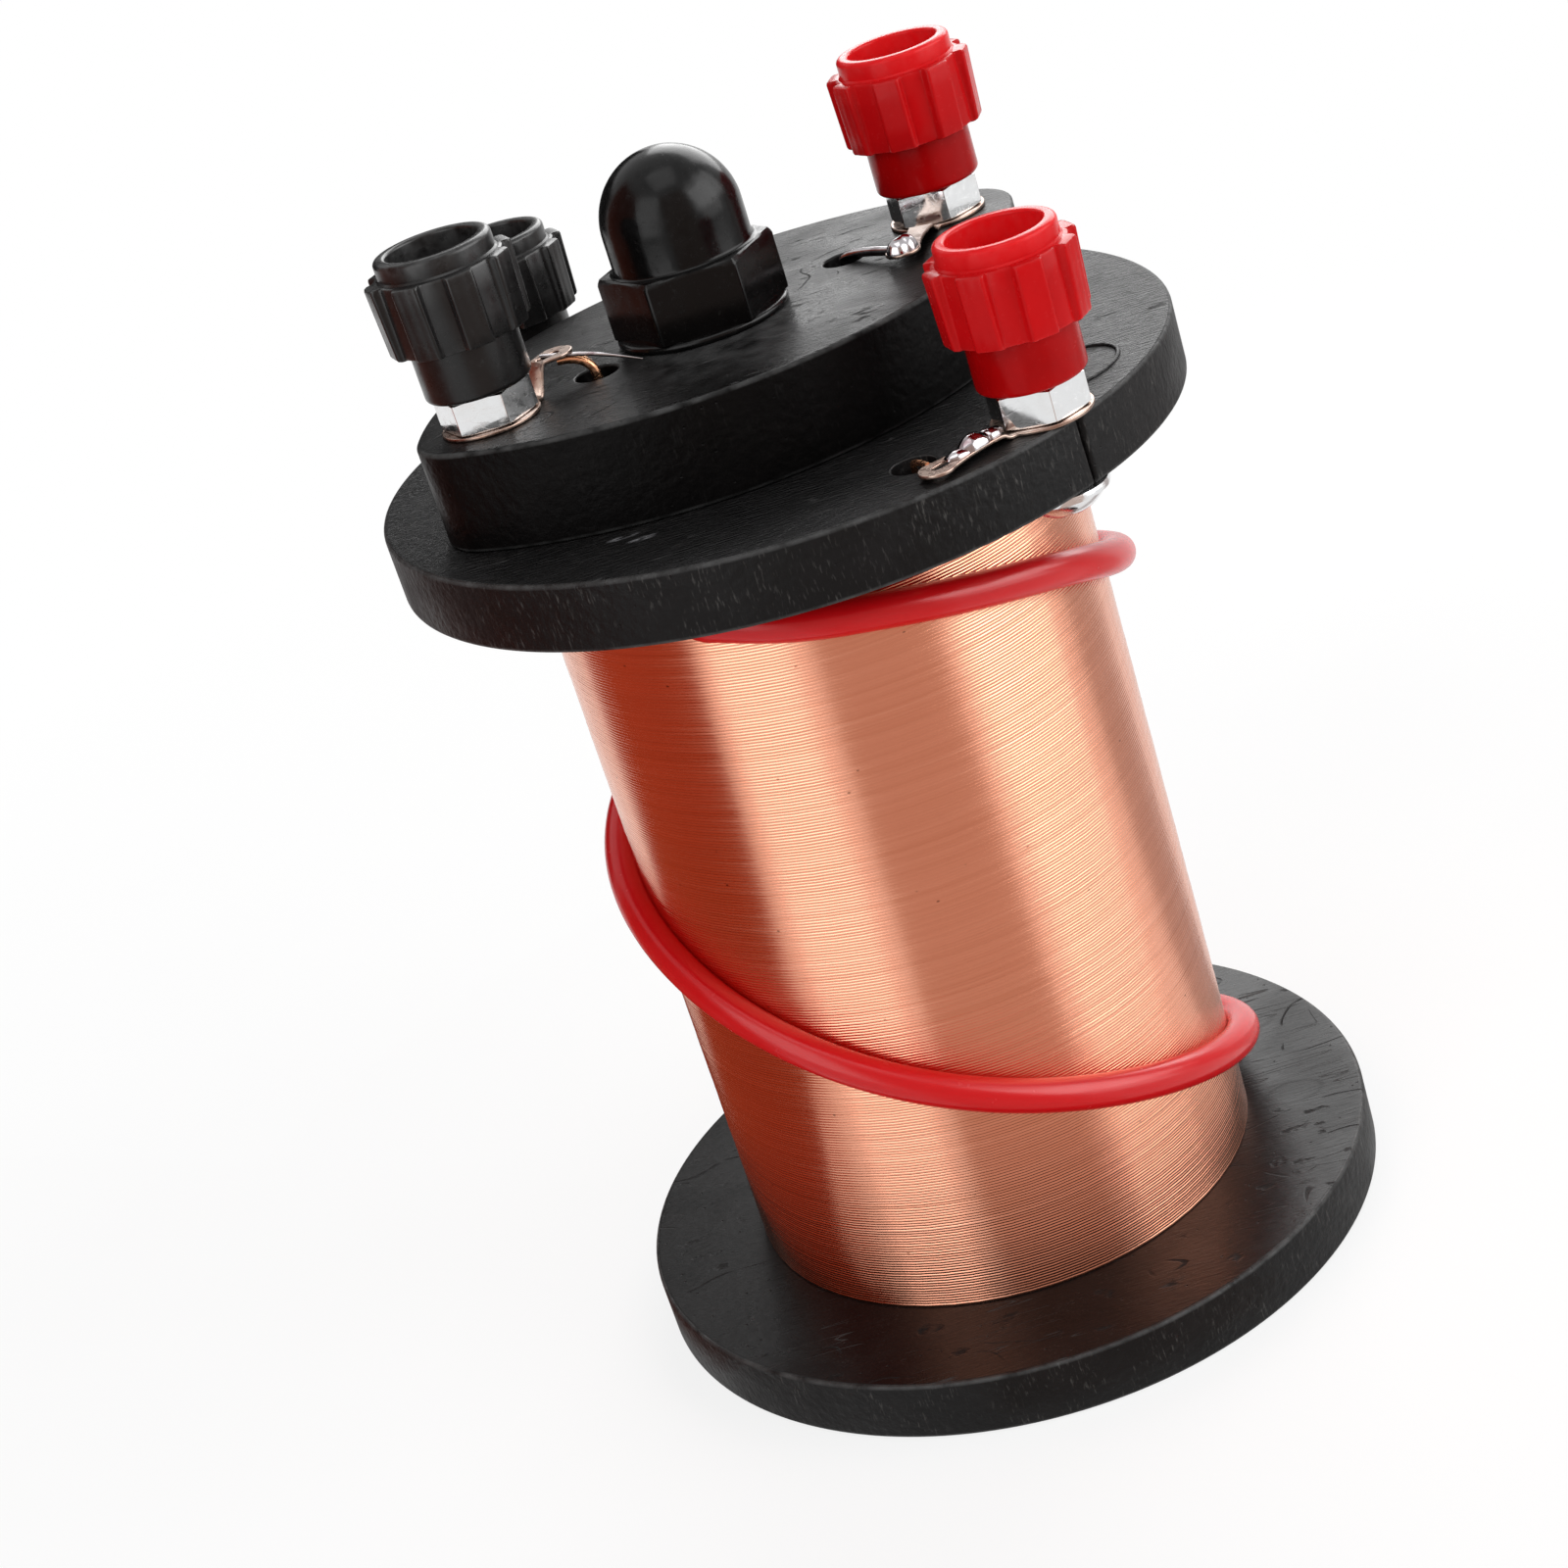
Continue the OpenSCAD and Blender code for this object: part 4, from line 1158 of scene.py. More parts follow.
@dataclass(frozen=True)
class SolderLug:
    """Solder lug along +X: a ring round the screw, a tail that is bent up, and an eye with a slot."""

    reach: float
    lift: float
    thick: float = 0.3
    ring: float = 4.1
    bore: float = 2.15
    tail: float = 1.3
    eye: float = 1.5
    slot: float = 0.4
    slot_length: float = 1.3
    waist: float = 0.4
    bend_gap: float = 0.3
    bend_run: float = 0.3
    edge: float = 0.08
    grid_half: float = 0.6
    grid_over: float = 0.2

    def outline(self) -> Array:
        """Outline of the flat blank: ring, lower side of the waisted tail, eye and upper side of the tail.

        Returns:
            Points, counter-clockwise.
        """
        neck = math.degrees(math.asin(self.tail / self.ring))
        gill = 180.0 - math.degrees(math.asin(self.tail / self.eye))
        ring = arc((0.0, 0.0), self.ring, neck, 360.0 - neck, 48)
        eye = arc((self.reach, 0.0), self.eye, -gill, gill, 32)
        share = np.linspace(0.0, 1.0, 26)[1:-1, None]
        slim = np.stack([0.0 * share[:, 0], self.waist * np.sin(math.pi * share[:, 0])], -1)
        below = ring[-1] + (eye[0] - ring[-1]) * share + slim
        above = eye[-1] + (ring[0] - eye[-1]) * share - slim
        return np.concatenate([ring, below, eye, above])

    def shell(self) -> Shell:
        """Cut the flat blank, then bend it along an eased step, with its walls square to the bend.

        Returns:
            The bent lug, with its ring's underside at height 0.
        """
        wall_profile = wall(-self.thick / 2.0, self.thick / 2.0, self.edge, self.edge, 3)
        far = arc((self.reach, 0.0), self.slot, 90.0, -90.0, 12)
        near = arc((self.reach - self.slot_length, 0.0), self.slot, 270.0, 90.0, 12)
        slot = np.concatenate([far, near])
        start = self.ring + self.bend_gap
        run = self.lift * self.bend_run + 2.0 * self.thick
        bend_x = np.linspace(start - self.grid_over, start + run + self.grid_over, 12)
        x, y = np.meshgrid(bend_x, np.linspace(-self.grid_half, self.grid_half, 5))
        blank = slab(
            [(self.outline(), wall_profile), hole((0.0, 0.0), self.bore, wall_profile), (slot, wall_profile)],
            np.stack([x.ravel(), y.ravel()], -1),
        )
        along, off = blank.points[:, 0], blank.points[:, 2]
        t = np.clip((along - start) / run, 0.0, 1.0)
        slope = self.lift / run * 6.0 * t * (1.0 - t)
        size = np.sqrt(1.0 + slope**2)
        blank.points[:, 0] = along - off * slope / size
        blank.points[:, 2] = self.lift * smooth_step(t) + off / size + self.thick / 2.0
        return blank


@dataclass(frozen=True)
class SolderBlob:
    """Frozen drop of solder: a dome whose skirt and height wander with a few slow waves round it."""

    radius: float = 1.6
    height: float = 1.2
    stretch: float = 1.0
    phase: float = 0.0
    waves: tuple[tuple[float, float, float], ...] = ((2.0, 1.0, 0.09), (3.0, 1.7, 0.06), (7.0, 0.0, 0.03))
    lumpy: float = 0.12
    lump_pace: tuple[float, float] = (1.9, 2.3)

    def shell(self) -> Shell:
        """Polar grid: height falls as the root of one minus the distance squared, out to a wavy rim.

        Returns:
            The closed drop, standing on height 0.
        """
        sides = 48
        a = np.arange(sides)[None] * TURN / sides
        d = np.sin(np.linspace(0.04, 1.0, 16) * math.pi / 2.0)[:, None]
        wave = np.ones_like(a)
        for count, shift, size in self.waves:
            wave = wave + size * np.sin(count * a + shift * self.phase)
        plan = np.stack([self.stretch * d * wave * np.cos(a), d * wave * np.sin(a)], -1) * self.radius
        along, across = self.lump_pace[0] * plan[..., 0], self.lump_pace[1] * plan[..., 1]
        lump = 1.0 + self.lumpy * np.sin(along + self.phase) * np.cos(across - self.phase)
        z = self.height * np.sqrt(np.maximum(1.0 - d**2, 0.0)) * lump
        return loft(raised(plan, z))


@dataclass
class Terminal:
    """One screw terminal: the place of its post, from its knob in the frame, and what stands on it."""

    coil: str
    lead: Lead
    rib_phase: float
    lug_angle: float
    lug: SolderLug
    nut_turn: float
    nut: HexNut = field(default_factory=HexNut)

    def __post_init__(self) -> None:
        """Measure the knob."""
        box = Box.of(f"{self.coil}_{self.lead.value}_knob")
        self.axis = box.middle[:2]
        self.foot = float(box.low[2])
        self.height = float(box.high[2] - box.low[2])
        self.seat = self.foot - self.nut.height - self.lug.thick

    def at(self, above: float = 0.0) -> Array:
        """A point on the post's axis, this far above its seat."""
        return np.array([*self.axis, self.seat + above])

    def eye(self) -> Array:
        """Middle of the lug's eye, on its underside."""
        return raised(self.axis + polar(self.lug.reach, self.lug_angle), self.seat + self.lug.lift)

    def on_lug(self, reach: float) -> Array:
        """A point on top of the lug's tail, this far from the post."""
        return raised(self.axis + polar(reach, self.lug_angle), self.seat + self.lug.lift + self.lug.thick)

    def add_knob(self) -> None:
        """Add the knob on its body."""
        name = f"{self.coil}_{self.lead.value}"
        finish = KNOB_RED if self.lead is Lead.RED else KNOB_BLACK
        shell = Knob(self.height).shell().placed(raised(self.axis, self.foot), self.rib_phase)
        add_piece(name + "_ribbed_knob", shell, name + "_terminal", finish, (name + "_knob",), crease=36.0)


def add_hardware(terminals: list[Terminal], coil: str, screw: PanScrew, blobs: list[Shell]) -> None:
    """Add screws, lugs, nuts and solder of one coil's terminals.

    Args:
        terminals: The coil's terminals.
        coil: First word of the coil's node names.
        screw: Screw of each terminal.
        blobs: Solder joints, in place.
    """
    body = coil + "_coil"
    screws = merged([screw.shell().placed(t.at()) for t in terminals])
    add_piece(coil + "_pan_screws", screws, body, NICKEL, (coil + "_screws",))
    lugs = merged([t.lug.shell().placed(t.at(), t.lug_angle) for t in terminals])
    add_piece(coil + "_solder_lugs", lugs, body, LUG_TINNED, (coil + "_lugs",))
    nuts = [t.nut.shell().placed(t.at(t.lug.thick), t.nut_turn) for t in terminals]
    add_piece(coil + "_hex_nuts", merged(nuts), body, NICKEL, (coil + "_nuts",), crease=20.0)
    add_piece(coil + "_solder_joints", merged(blobs), body, SOLDER, (coil + "_solder",))


@dataclass
class OuterCoil:
    """The coil that stands on the table: flanges, card tube, winding, red wire and two terminals."""

    edge: float = 0.4
    bore: float = 16.5
    tube_wall: float = 1.2
    glue: float = 0.05
    base_hole: float = 12.5
    ledge: float = 2.0
    turns: int = 262
    steps_each_turn: int = 62
    wire_sides: int = 6
    crowd: float = 1.1
    flat: float = 0.29
    lug_angle: float = -145.2
    lug_reach: float = 11.2
    lug_lift: float = 0.4
    lead_hole: float = 1.8
    hole_inset: float = 4.4
    post_hole: float = 2.15
    lead_radius: float = 0.25
    lead_depth: float = 1.4
    lead_bend: float = 0.9
    solder_inset: float = 4.0
    marker_radius: float = 1.5
    marker_start: float = -118.0
    marker_end: float = 388.0
    marker_window: float = 30.0
    crack_angle: float = -50.4
    crack_width: float = 0.3
    crack_depth: float = 0.6
    bead_at: tuple[float, float] = (22.6, -15.6)
    bead_size: tuple[float, float] = (5.2, 3.7)
    bead_turn: float = 42.0
    bead_radius: float = 0.2
    bore_edge: float = 0.12
    card_edge: float = 0.2
    rim_points: int = 192
    rim_start: float = -179.6
    crack_span: float = 1.3
    crack_points: int = 53
    crack_foot: float = 0.35
    wire_seed: int = 11
    wire_wander: float = 0.005
    wire_sag: float = 0.008
    wire_drift: tuple[tuple[float, float, float], ...] = ((0.008, 0.21, 0.4), (0.005, 0.53, 0.0))
    wire_sink: float = 0.07
    core_sink: float = 0.16
    core_edge: float = 0.05
    marker_bend: float = 0.9
    marker_drop: float = 0.2
    marker_route: tuple[tuple[float, float], ...] = (
        (-90.0, 0.93),
        (-60.0, 0.905),
        (-30.0, 0.84),
        (0.0, 0.76),
        (45.0, 0.71),
        (90.0, 0.675),
        (135.0, 0.63),
        (180.0, 0.565),
        (210.0, 0.49),
        (240.0, 0.38),
        (270.0, 0.3),
        (300.0, 0.22),
        (330.0, 0.155),
        (355.0, 0.095),
    )
    lead_start: float = 2.2
    lead_gap: float = 0.05
    lead_tilt: float = 0.3
    solder_lumps: tuple[tuple[float, SolderBlob], ...] = (
        (0.0, SolderBlob(radius=1.15, height=0.95, stretch=1.35, phase=0.6)),
        (-1.7, SolderBlob(radius=0.85, height=0.7, stretch=1.3, phase=2.4)),
        (1.8, SolderBlob(radius=0.8, height=0.45, stretch=1.5, phase=4.1)),
    )

    def __post_init__(self) -> None:
        """Measure the flanges and place the terminals."""
        base, top = Box.of("base_flange"), Box.of("top_flange")
        self.flange = base.radius
        self.low, self.high, self.top = float(base.high[2]), float(top.low[2]), float(top.high[2])
        self.tube = self.bore + self.tube_wall
        self.winding = Box.of("secondary_turns").radius
        lug, front, back = SolderLug(self.lug_reach, self.lug_lift), self.lug_angle, self.lug_angle + 180.0
        self.terminals = [
            Terminal("secondary", Lead.RED, rib_phase=12.5, lug_angle=front, lug=lug, nut_turn=37.5),
            Terminal("secondary", Lead.BLACK, rib_phase=17.5, lug_angle=back, lug=lug, nut_turn=47.0),
        ]

    def lead_hole_at(self, terminal: Terminal) -> Array:
        """Middle of the hole that a terminal's lead comes up through: inwards of the lug's eye."""
        eye = terminal.eye()[:2]
        return eye * (1.0 - self.hole_inset / np.linalg.norm(eye))

    def rim(self) -> Array:
        """Outline of the top flange: a circle with more points where its crack is.

        Returns:
            Points, counter-clockwise.
        """
        even = np.arange(self.rim_points) * 360.0 / self.rim_points + self.rim_start
        fine = self.crack_angle + np.linspace(-self.crack_span, self.crack_span, self.crack_points)
        return polar(self.flange, np.sort(np.concatenate([even, fine])))

    def cracked(self, disc: Shell) -> Shell:
        """Pull the rim in along one crack: a bell-shaped notch down the edge, which closes towards its foot.

        Args:
            disc: The flange.

        Returns:
            The same flange.
        """
        rim_gap = 0.01
        plan = disc.points[:, :2]
        reach = np.linalg.norm(plan, axis=1)
        away = (np.arctan2(plan[:, 1], plan[:, 0]) - math.radians(self.crack_angle)) * self.flange
        rise = (disc.points[:, 2] - self.high) / (self.top - self.high)
        width = self.crack_width * (self.crack_foot + (1.0 - self.crack_foot) * rise)
        pull = self.crack_depth * np.exp(-((away / width) ** 2))
        pull *= reach > self.flange - self.edge - rim_gap
        disc.points[:, :2] = plan * (1.0 - pull / reach)[:, None]
        return disc

    def add_flanges(self) -> None:
        """Add both flanges and the card tube between them."""
        socket = self.tube + self.glue
        back = self.base_hole - socket
        step = np.array([
            [0.0, 0.0, 0.0],
            [0.0, self.ledge, 0.0],
            [back, self.ledge, 0.0],
            [back, self.low, 0.0],
        ])
        base = slab([
            (circle((0.0, 0.0), self.flange, self.rim_points), wall(0.0, self.low, self.edge, self.edge)),
            hole((0.0, 0.0), self.base_hole, step, sides=96),
        ])
        add_piece("base_disc", base, "secondary_coil", BASE_BLACK, ("base_flange",))
        bored = wall(self.high, self.top, self.bore_edge, self.bore_edge, 3)
        holes = [hole((0.0, 0.0), socket, bored, sides=96)]
        holes += [hole(self.lead_hole_at(t), self.lead_hole, bored) for t in self.terminals]
        holes += [hole(t.axis, self.post_hole, bored) for t in self.terminals]
        top = slab([(self.rim(), wall(self.high, self.top, self.edge, self.edge)), *holes])
        add_piece("top_disc", self.cracked(top), "secondary_coil", FLANGE_BLACK, ("top_flange",))
        card = lathe(rounded_ring(self.bore, self.tube, self.ledge, self.top, self.card_edge))
        add_piece("outer_card_tube", card, "secondary_coil", TUBE_CARD, ("secondary_tube",))

    def add_winding(self) -> None:
        """Add the winding: a packed core, and an outer layer of one fine wire wound turn by turn.

        The wire is a flattened circle carried down a helix. The helix's radius and height wander by about a
        hundredth of a millimetre from turn to turn, as a wound layer does.
        """
        radius = (self.high - self.low) / self.turns / 2.0
        count = (self.turns - 1) * self.steps_each_turn
        turn = np.arange(count + 1) / self.steps_each_turn
        rng = np.random.default_rng(self.wire_seed)
        knots = np.arange(self.turns * 2 + 2)
        wander = np.interp(turn * 2.0, knots, rng.normal(0.0, self.wire_wander, len(knots)))
        drift = sum(size * np.sin(turn * pace + phase) for size, pace, phase in self.wire_drift)
        sag = np.interp(turn * 2.0, knots, rng.normal(0.0, self.wire_sag, len(knots)))
        z = self.high - radius - turn * 2.0 * radius + sag
        plan = polar(self.winding - self.wire_sink + wander + drift, turn * 360.0)
        path = raised(plan, np.clip(z, self.low + radius, self.high - radius))
        out = raised(unit(plan), np.zeros(len(plan)))
        layer = tube(path, out, radius * self.crowd, self.wire_sides, self.flat)
        add_piece("copper_layer", layer, "secondary_coil", COPPER_WIRE, ("secondary_turns",), crease=60.0)
        inner, outer = self.tube + self.glue, self.winding - self.core_sink
        core = lathe(rounded_ring(inner, outer, self.low, self.high, self.core_edge), self.rim_points)
        add_piece("packed_winding", core, "secondary_coil", COPPER_WIRE, ("secondary_winding",))

    def add_bead(self) -> None:
        """Add the oval bead of lacquer beside the red terminal: a thin tube carried round an ellipse."""
        q = np.linspace(0.0, 360.0, 97)
        long, wide = self.bead_size
        turn = math.radians(self.bead_turn)
        oval = polar(1.0, q) * np.array([long, wide])
        spin = np.array([[math.cos(turn), math.sin(turn)], [-math.sin(turn), math.cos(turn)]])
        plan = oval @ spin + np.array(self.bead_at)
        bead = tube(raised(plan, self.top), UPRIGHT, self.bead_radius, sides=10)
        add_piece("lacquer_bead", bead, "secondary_coil", FLANGE_BLACK)

    def marker_height(self, angle: Array, first: float, last: float, drop: float) -> Array:
        """Share of the winding's height at which the red wire lies, averaged over a window of directions.

        Args:
            angle: Directions in degrees.
            first: Direction where the wire's upper bend ends.
            last: Direction where its lower bend starts.
            drop: Share of the height that each bend takes.

        Returns:
            Shares of the height.
        """
        at, share = np.array([(first, 1.0 - drop), *self.marker_route, (last, drop)]).T
        window = np.minimum(self.marker_window, np.minimum(angle - first, last - angle))
        ease = np.linspace(-1.0, 1.0, 41)[:, None]
        return np.interp(angle + window * ease, at, share).mean(axis=0)

    def add_marker(self) -> None:
        """Add the red wire: a circle carried along a path on a cylinder.

        The path comes down out of the top flange, goes round a bend and along its route, and into the base.
        """
        r, d = self.marker_radius, 2.0 * self.marker_radius
        path_r = Box.of("marker_wire").radius - r
        bend, up = self.marker_bend * d, self.marker_drop
        lead = math.degrees(bend / path_r)
        first, last = self.marker_start + lead, self.marker_end - lead
        tall = self.high - self.low
        angle = np.linspace(first, last, 260)
        share = self.marker_height(angle, first, last, (up + bend) / tall)
        run = np.stack([angle, self.low + tall * share], -1)
        q = np.linspace(0.0, 90.0, 14)[:-1]
        quarter = np.stack([lead * (1.0 - np.cos(np.radians(q))), bend * np.sin(np.radians(q))], -1)
        start = np.array([self.marker_start, self.high - up]) + quarter * np.array([1.0, -1.0])
        finish = (np.array([self.marker_end, self.low + up]) + quarter * np.array([-1.0, 1.0]))[::-1]
        tips = np.array([[self.marker_start, self.high + d]]), np.array([[self.marker_end, self.low - d]])
        pairs = np.concatenate([tips[0], start, run, finish, tips[1]])
        plan = polar(path_r, pairs[:, 0])
        wire = tube(raised(plan, pairs[:, 1]), raised(unit(plan), np.zeros(len(plan))), r, sides=28)
        add_piece("red_marker_wire", wire, "secondary_coil", MARKER_RED, ("marker_wire",), crease=60.0)

    def lead_path(self, terminal: Terminal) -> Array:
        """A lead's route: out of the winding, round a bend, up through the flange and over to the lug's eye.

        Args:
            terminal: The lead's terminal.

        Returns:
            Points from the winding to the eye.
        """
        middle, eye = self.lead_hole_at(terminal), terminal.eye()
        out = unit(middle)
        z = self.high - self.lead_depth
        q = np.radians(np.linspace(0.0, 90.0, 12))[:, None]
        foot_z = z + self.lead_bend * (1.0 - np.cos(q[:, 0]))
        foot = raised(middle - out * self.lead_bend * (1.0 - np.sin(q)), foot_z)
        tip = eye[:2] + unit(middle - eye[:2]) * (terminal.lug.eye + self.lead_gap)
        tip_z = eye[2] + terminal.lug.thick / 2.0
        head_z = self.top + (tip_z - self.top) * np.sin(q[:, 0])
        head = raised(middle + (tip - middle) * (1.0 - np.cos(q)), head_z)
        start = raised(out * (self.winding - self.lead_start), z)[None]
        return np.concatenate([start, foot, head])

    def add_terminals(self) -> None:
        """Add knobs, hardware, leads and solder."""
        for terminal in self.terminals:
            terminal.add_knob()
        blobs = [
            lump.shell().placed(t.on_lug(t.lug.reach - self.solder_inset + step), t.lug_angle)
            for t in self.terminals
            for step, lump in self.solder_lumps
        ]
        screw = PanScrew(self.top - self.high)
        add_hardware(self.terminals, "secondary", screw, blobs)
        side = [np.append(polar(1.0, t.lug_angle + 90.0), self.lead_tilt) for t in self.terminals]
        wires = [tube(self.lead_path(t), s, self.lead_radius, sides=12) for t, s in zip(self.terminals, side)]
        add_piece("secondary_wire_ends", merged(wires), "secondary_coil", LEAD_COPPER, ("secondary_leads",))

    def build(self) -> None:
        """Add every piece of the outer coil."""
        self.add_flanges()
        self.add_bead()
        self.add_winding()
        self.add_marker()
        self.add_terminals()


@dataclass
class InnerCoil:
    """The coil that lifts out: an eye-shaped plate with two terminals, on a tube wound with thick wire."""

    edge: float = 0.4
    width: float = 38.0
    end: float = 6.4
    posts: float = 44.0
    core_hole: float = 6.3
    tube_wall: float = 1.7
    socket: float = 6.0
    glue: float = 0.05
    hole_ring: float = 12.2
    lead_hole: float = 1.8
    lead_radius: float = 0.4
    head: float = 4.2
    head_depth: float = 2.9
    red_lug_angle: float = 247.0
    black_lug_angle: float = 393.8
    spike_tip: tuple[float, float] = (-8.8, -7.0)
    spike_start: tuple[float, float, float] = (-1.2, -0.1, 0.3)
    spike_rise: float = 0.3
    spike_arch: float = 0.35
    spike_shares: tuple[float, float, float] = (0.0, 0.7, 1.0)
    spike_radii: tuple[float, float, float] = (0.2, 0.16, 0.06)
    turns: int = 76
    steps_each_turn: int = 64
    post_hole: float = 2.15
    bore_edge: float = 0.12
    top_edge: float = 0.2
    card_edge: float = 0.2
    foot_edge: float = 0.3
    core_edge: float = 0.05
    core_sink: float = 1.5
    lead_gap: float = 0.05
    lead_tilt: float = 0.3
    solder_drop: SolderBlob = SolderBlob(radius=1.35, height=1.2, stretch=1.05, phase=2.1)

    def __post_init__(self) -> None:
        """Measure the plate and the tube, and place the terminals."""
        plate = Box.of("primary_plate")
        self.low, self.top = float(plate.low[2]), float(plate.high[2])
        long, bent = SolderLug(reach=11.0, lift=0.6), SolderLug(reach=7.4, lift=2.4)
        left, right = self.red_lug_angle, self.black_lug_angle
        self.terminals = [
            Terminal("primary", Lead.RED, rib_phase=27.5, lug_angle=left, lug=long, nut_turn=39.0),
            Terminal("primary", Lead.BLACK, rib_phase=17.5, lug_angle=right, lug=bent, nut_turn=54.0),
        ]
        red, black = self.terminals
        self.middle = (red.axis + black.axis) / 2.0
        self.angle = math.degrees(math.atan2(*(red.axis - black.axis)[::-1]))
        foot = Box.of("primary_end_flange")
        self.axis = foot.middle[:2]
        self.foot, self.foot_top, self.foot_radius = float(foot.low[2]), float(foot.high[2]), foot.radius
        self.winding = Box.of("primary_winding").radius
        self.tube = self.core_hole + self.tube_wall

    def outline(self) -> Array:
        """The plate's outline: two wide arcs that run into the round ends without a corner.

        Returns:
            Points, counter-clockwise.
        """
        half = self.posts / 2.0
        flank = (half**2 + (self.width / 2.0) ** 2 - self.end**2) / (self.width - 2.0 * self.end)
        away = flank - self.width / 2.0
        meet = math.degrees(math.atan2(away, half))
        side = arc((0.0, -away), flank, meet, 180.0 - meet, 72)
        nose = arc((-half, 0.0), self.end, 180.0 - meet, 180.0 + meet, 24)
        half_outline = np.concatenate([side[:-1], nose[:-1]])
        c, s = math.cos(math.radians(self.angle)), math.sin(math.radians(self.angle))
        whole = np.concatenate([half_outline, -half_outline])
        return whole @ np.array([[c, s], [-s, c]]) + self.middle

    def lead_hole_at(self, terminal: Terminal) -> Array:
        """Middle of the hole that a terminal's lead comes up through, on the plate's long axis."""
        return self.middle + unit(terminal.axis - self.middle) * self.hole_ring

    def add_plate(self) -> None:
        """Add the plate: its core hole is wider below, for the glued tube, and the screw heads are sunk."""
        low, top = self.low, self.top
        bored = wall(low, top, self.bore_edge, self.top_edge, 3)
        step, socket = self.tube + self.glue - self.core_hole, low + self.socket
        bored_core = np.array([
            [-step, low, 0.0],
            [-step, socket, 0.0],
            [0.0, socket, 0.0],
            [0.0, top - self.top_edge, 0.0],
            [-self.top_edge, top, 1.0],
        ])
        sunk, seat = self.head - self.post_hole, low + self.head_depth
        post = np.array([[-sunk, low, 0.0], [-sunk, seat, 0.0], [0.0, seat, 0.0], [0.0, top, 0.0]])
        edges = [(self.outline(), wall(low, top, self.edge, self.edge))]
        edges += [hole(self.axis, self.core_hole, bored_core, sides=72)]
        edges += [hole(self.lead_hole_at(t), self.lead_hole, bored) for t in self.terminals]
        edges += [hole(t.axis, self.post_hole, post) for t in self.terminals]
        add_piece("eye_plate", slab(edges), "primary_coil", PLATE_BLACK, ("primary_plate",))

    def add_former(self) -> None:
        """Add the tube, the disc at its foot, and the winding between them: a circle carried down a helix."""
        at = raised(self.axis, 0.0)
        inner = self.tube + self.glue
        card = rounded_ring(self.core_hole, self.tube, self.foot, self.low + self.socket, self.card_edge)
        add_piece("inner_card_tube", lathe(card).placed(at), "primary_coil", TUBE_CARD, ("primary_tube",))
        foot = rounded_ring(inner, self.foot_radius, self.foot, self.foot_top, self.foot_edge)
        add_piece("foot_disc", lathe(foot).placed(at), "primary_coil", PLATE_BLACK, ("primary_end_flange",))
        radius = (self.low - self.foot_top) / self.turns / 2.0
        turn = np.arange((self.turns - 1) * self.steps_each_turn + 1) / self.steps_each_turn
        plan = polar(self.winding - radius, turn * 360.0)
        path = raised(plan, self.low - radius - turn * 2.0 * radius)
        layer = tube(path, raised(unit(plan), np.zeros(len(plan))), radius, sides=8).placed(at)
        outer = self.winding - self.core_sink * radius
        core = rounded_ring(inner, outer, self.foot_top, self.low, self.core_edge)
        wound = merged([layer, lathe(core).placed(at)])
        add_piece("inner_winding", wound, "primary_coil", COPPER_WIRE, ("primary_winding",), crease=60.0)

    def lead_path(self, terminal: Terminal, tip: Array) -> Array:
        """A lead's route: up through the plate's hole, then a quarter ellipse over to its tip.

        Args:
            terminal: The lead's terminal.
            tip: The lead's end.

        Returns:
            Points from the plate's underside to the tip.
        """
        middle = self.lead_hole_at(terminal)
        q = np.radians(np.linspace(0.0, 90.0, 20))[:, None]
        head_z = self.top + (tip[2] - self.top) * np.sin(q[:, 0])
        head = raised(middle + (tip[:2] - middle) * (1.0 - np.cos(q)), head_z)
        return np.concatenate([raised(middle, self.low)[None], head])

    def tinned_end(self, terminal: Terminal) -> Shell:
        """The tinned end of the black lead: a thin wire out of the lug's eye that tapers down to the plate.

        Args:
            terminal: The black terminal.

        Returns:
            The wire end.
        """
        share = np.linspace(0.0, 1.0, 14)[:, None]
        start = terminal.eye() + np.array(self.spike_start)
        tip = raised(np.array(self.spike_tip), self.top + self.spike_rise)
        path = start + (tip - start) * share + self.spike_arch * UPRIGHT * np.sin(math.pi * share)
        radius = np.interp(share[:, 0], self.spike_shares, self.spike_radii)
        return tube(path, UPRIGHT, radius, sides=12)

    def lead_tips(self) -> tuple[Array, Array]:
        """Ends of the leads: beside the red lug's eye, and under the black lug's eye, which is bent well up.

        Returns:
            End of the red lead and end of the black one.
        """
        red, black = self.terminals
        eye, middle = red.eye(), self.lead_hole_at(red)
        beside = eye[:2] + unit(middle - eye[:2]) * (red.lug.eye + self.lead_gap)
        under = black.eye() - UPRIGHT * (self.lead_radius + self.lead_gap)
        return raised(beside, eye[2] + red.lug.thick / 2.0), under

    def add_terminals(self) -> None:
        """Add knobs, hardware, leads and solder."""
        for terminal in self.terminals:
            terminal.add_knob()
        red, black = self.terminals
        blob = self.solder_drop.shell().placed(red.on_lug(red.lug.reach), red.lug_angle)
        sunk_screw = PanScrew(self.top - self.low - self.head_depth)
        add_hardware(self.terminals, "primary", sunk_screw, [blob, self.tinned_end(black)])
        up = np.append(polar(1.0, self.angle + 90.0), self.lead_tilt)
        paths = [self.lead_path(t, tip) for t, tip in zip(self.terminals, self.lead_tips())]
        tinned, bare = [tube(path, up, self.lead_radius, sides=14) for path in paths]
        add_piece("primary_wire_end", bare, "primary_coil", LEAD_COPPER, ("primary_leads",))
        add_piece("primary_tinned_lead", tinned, "primary_coil", SOLDER)

    def build(self) -> None:
        """Add every piece of the inner coil."""
        self.add_plate()
        self.add_former()
        self.add_terminals()


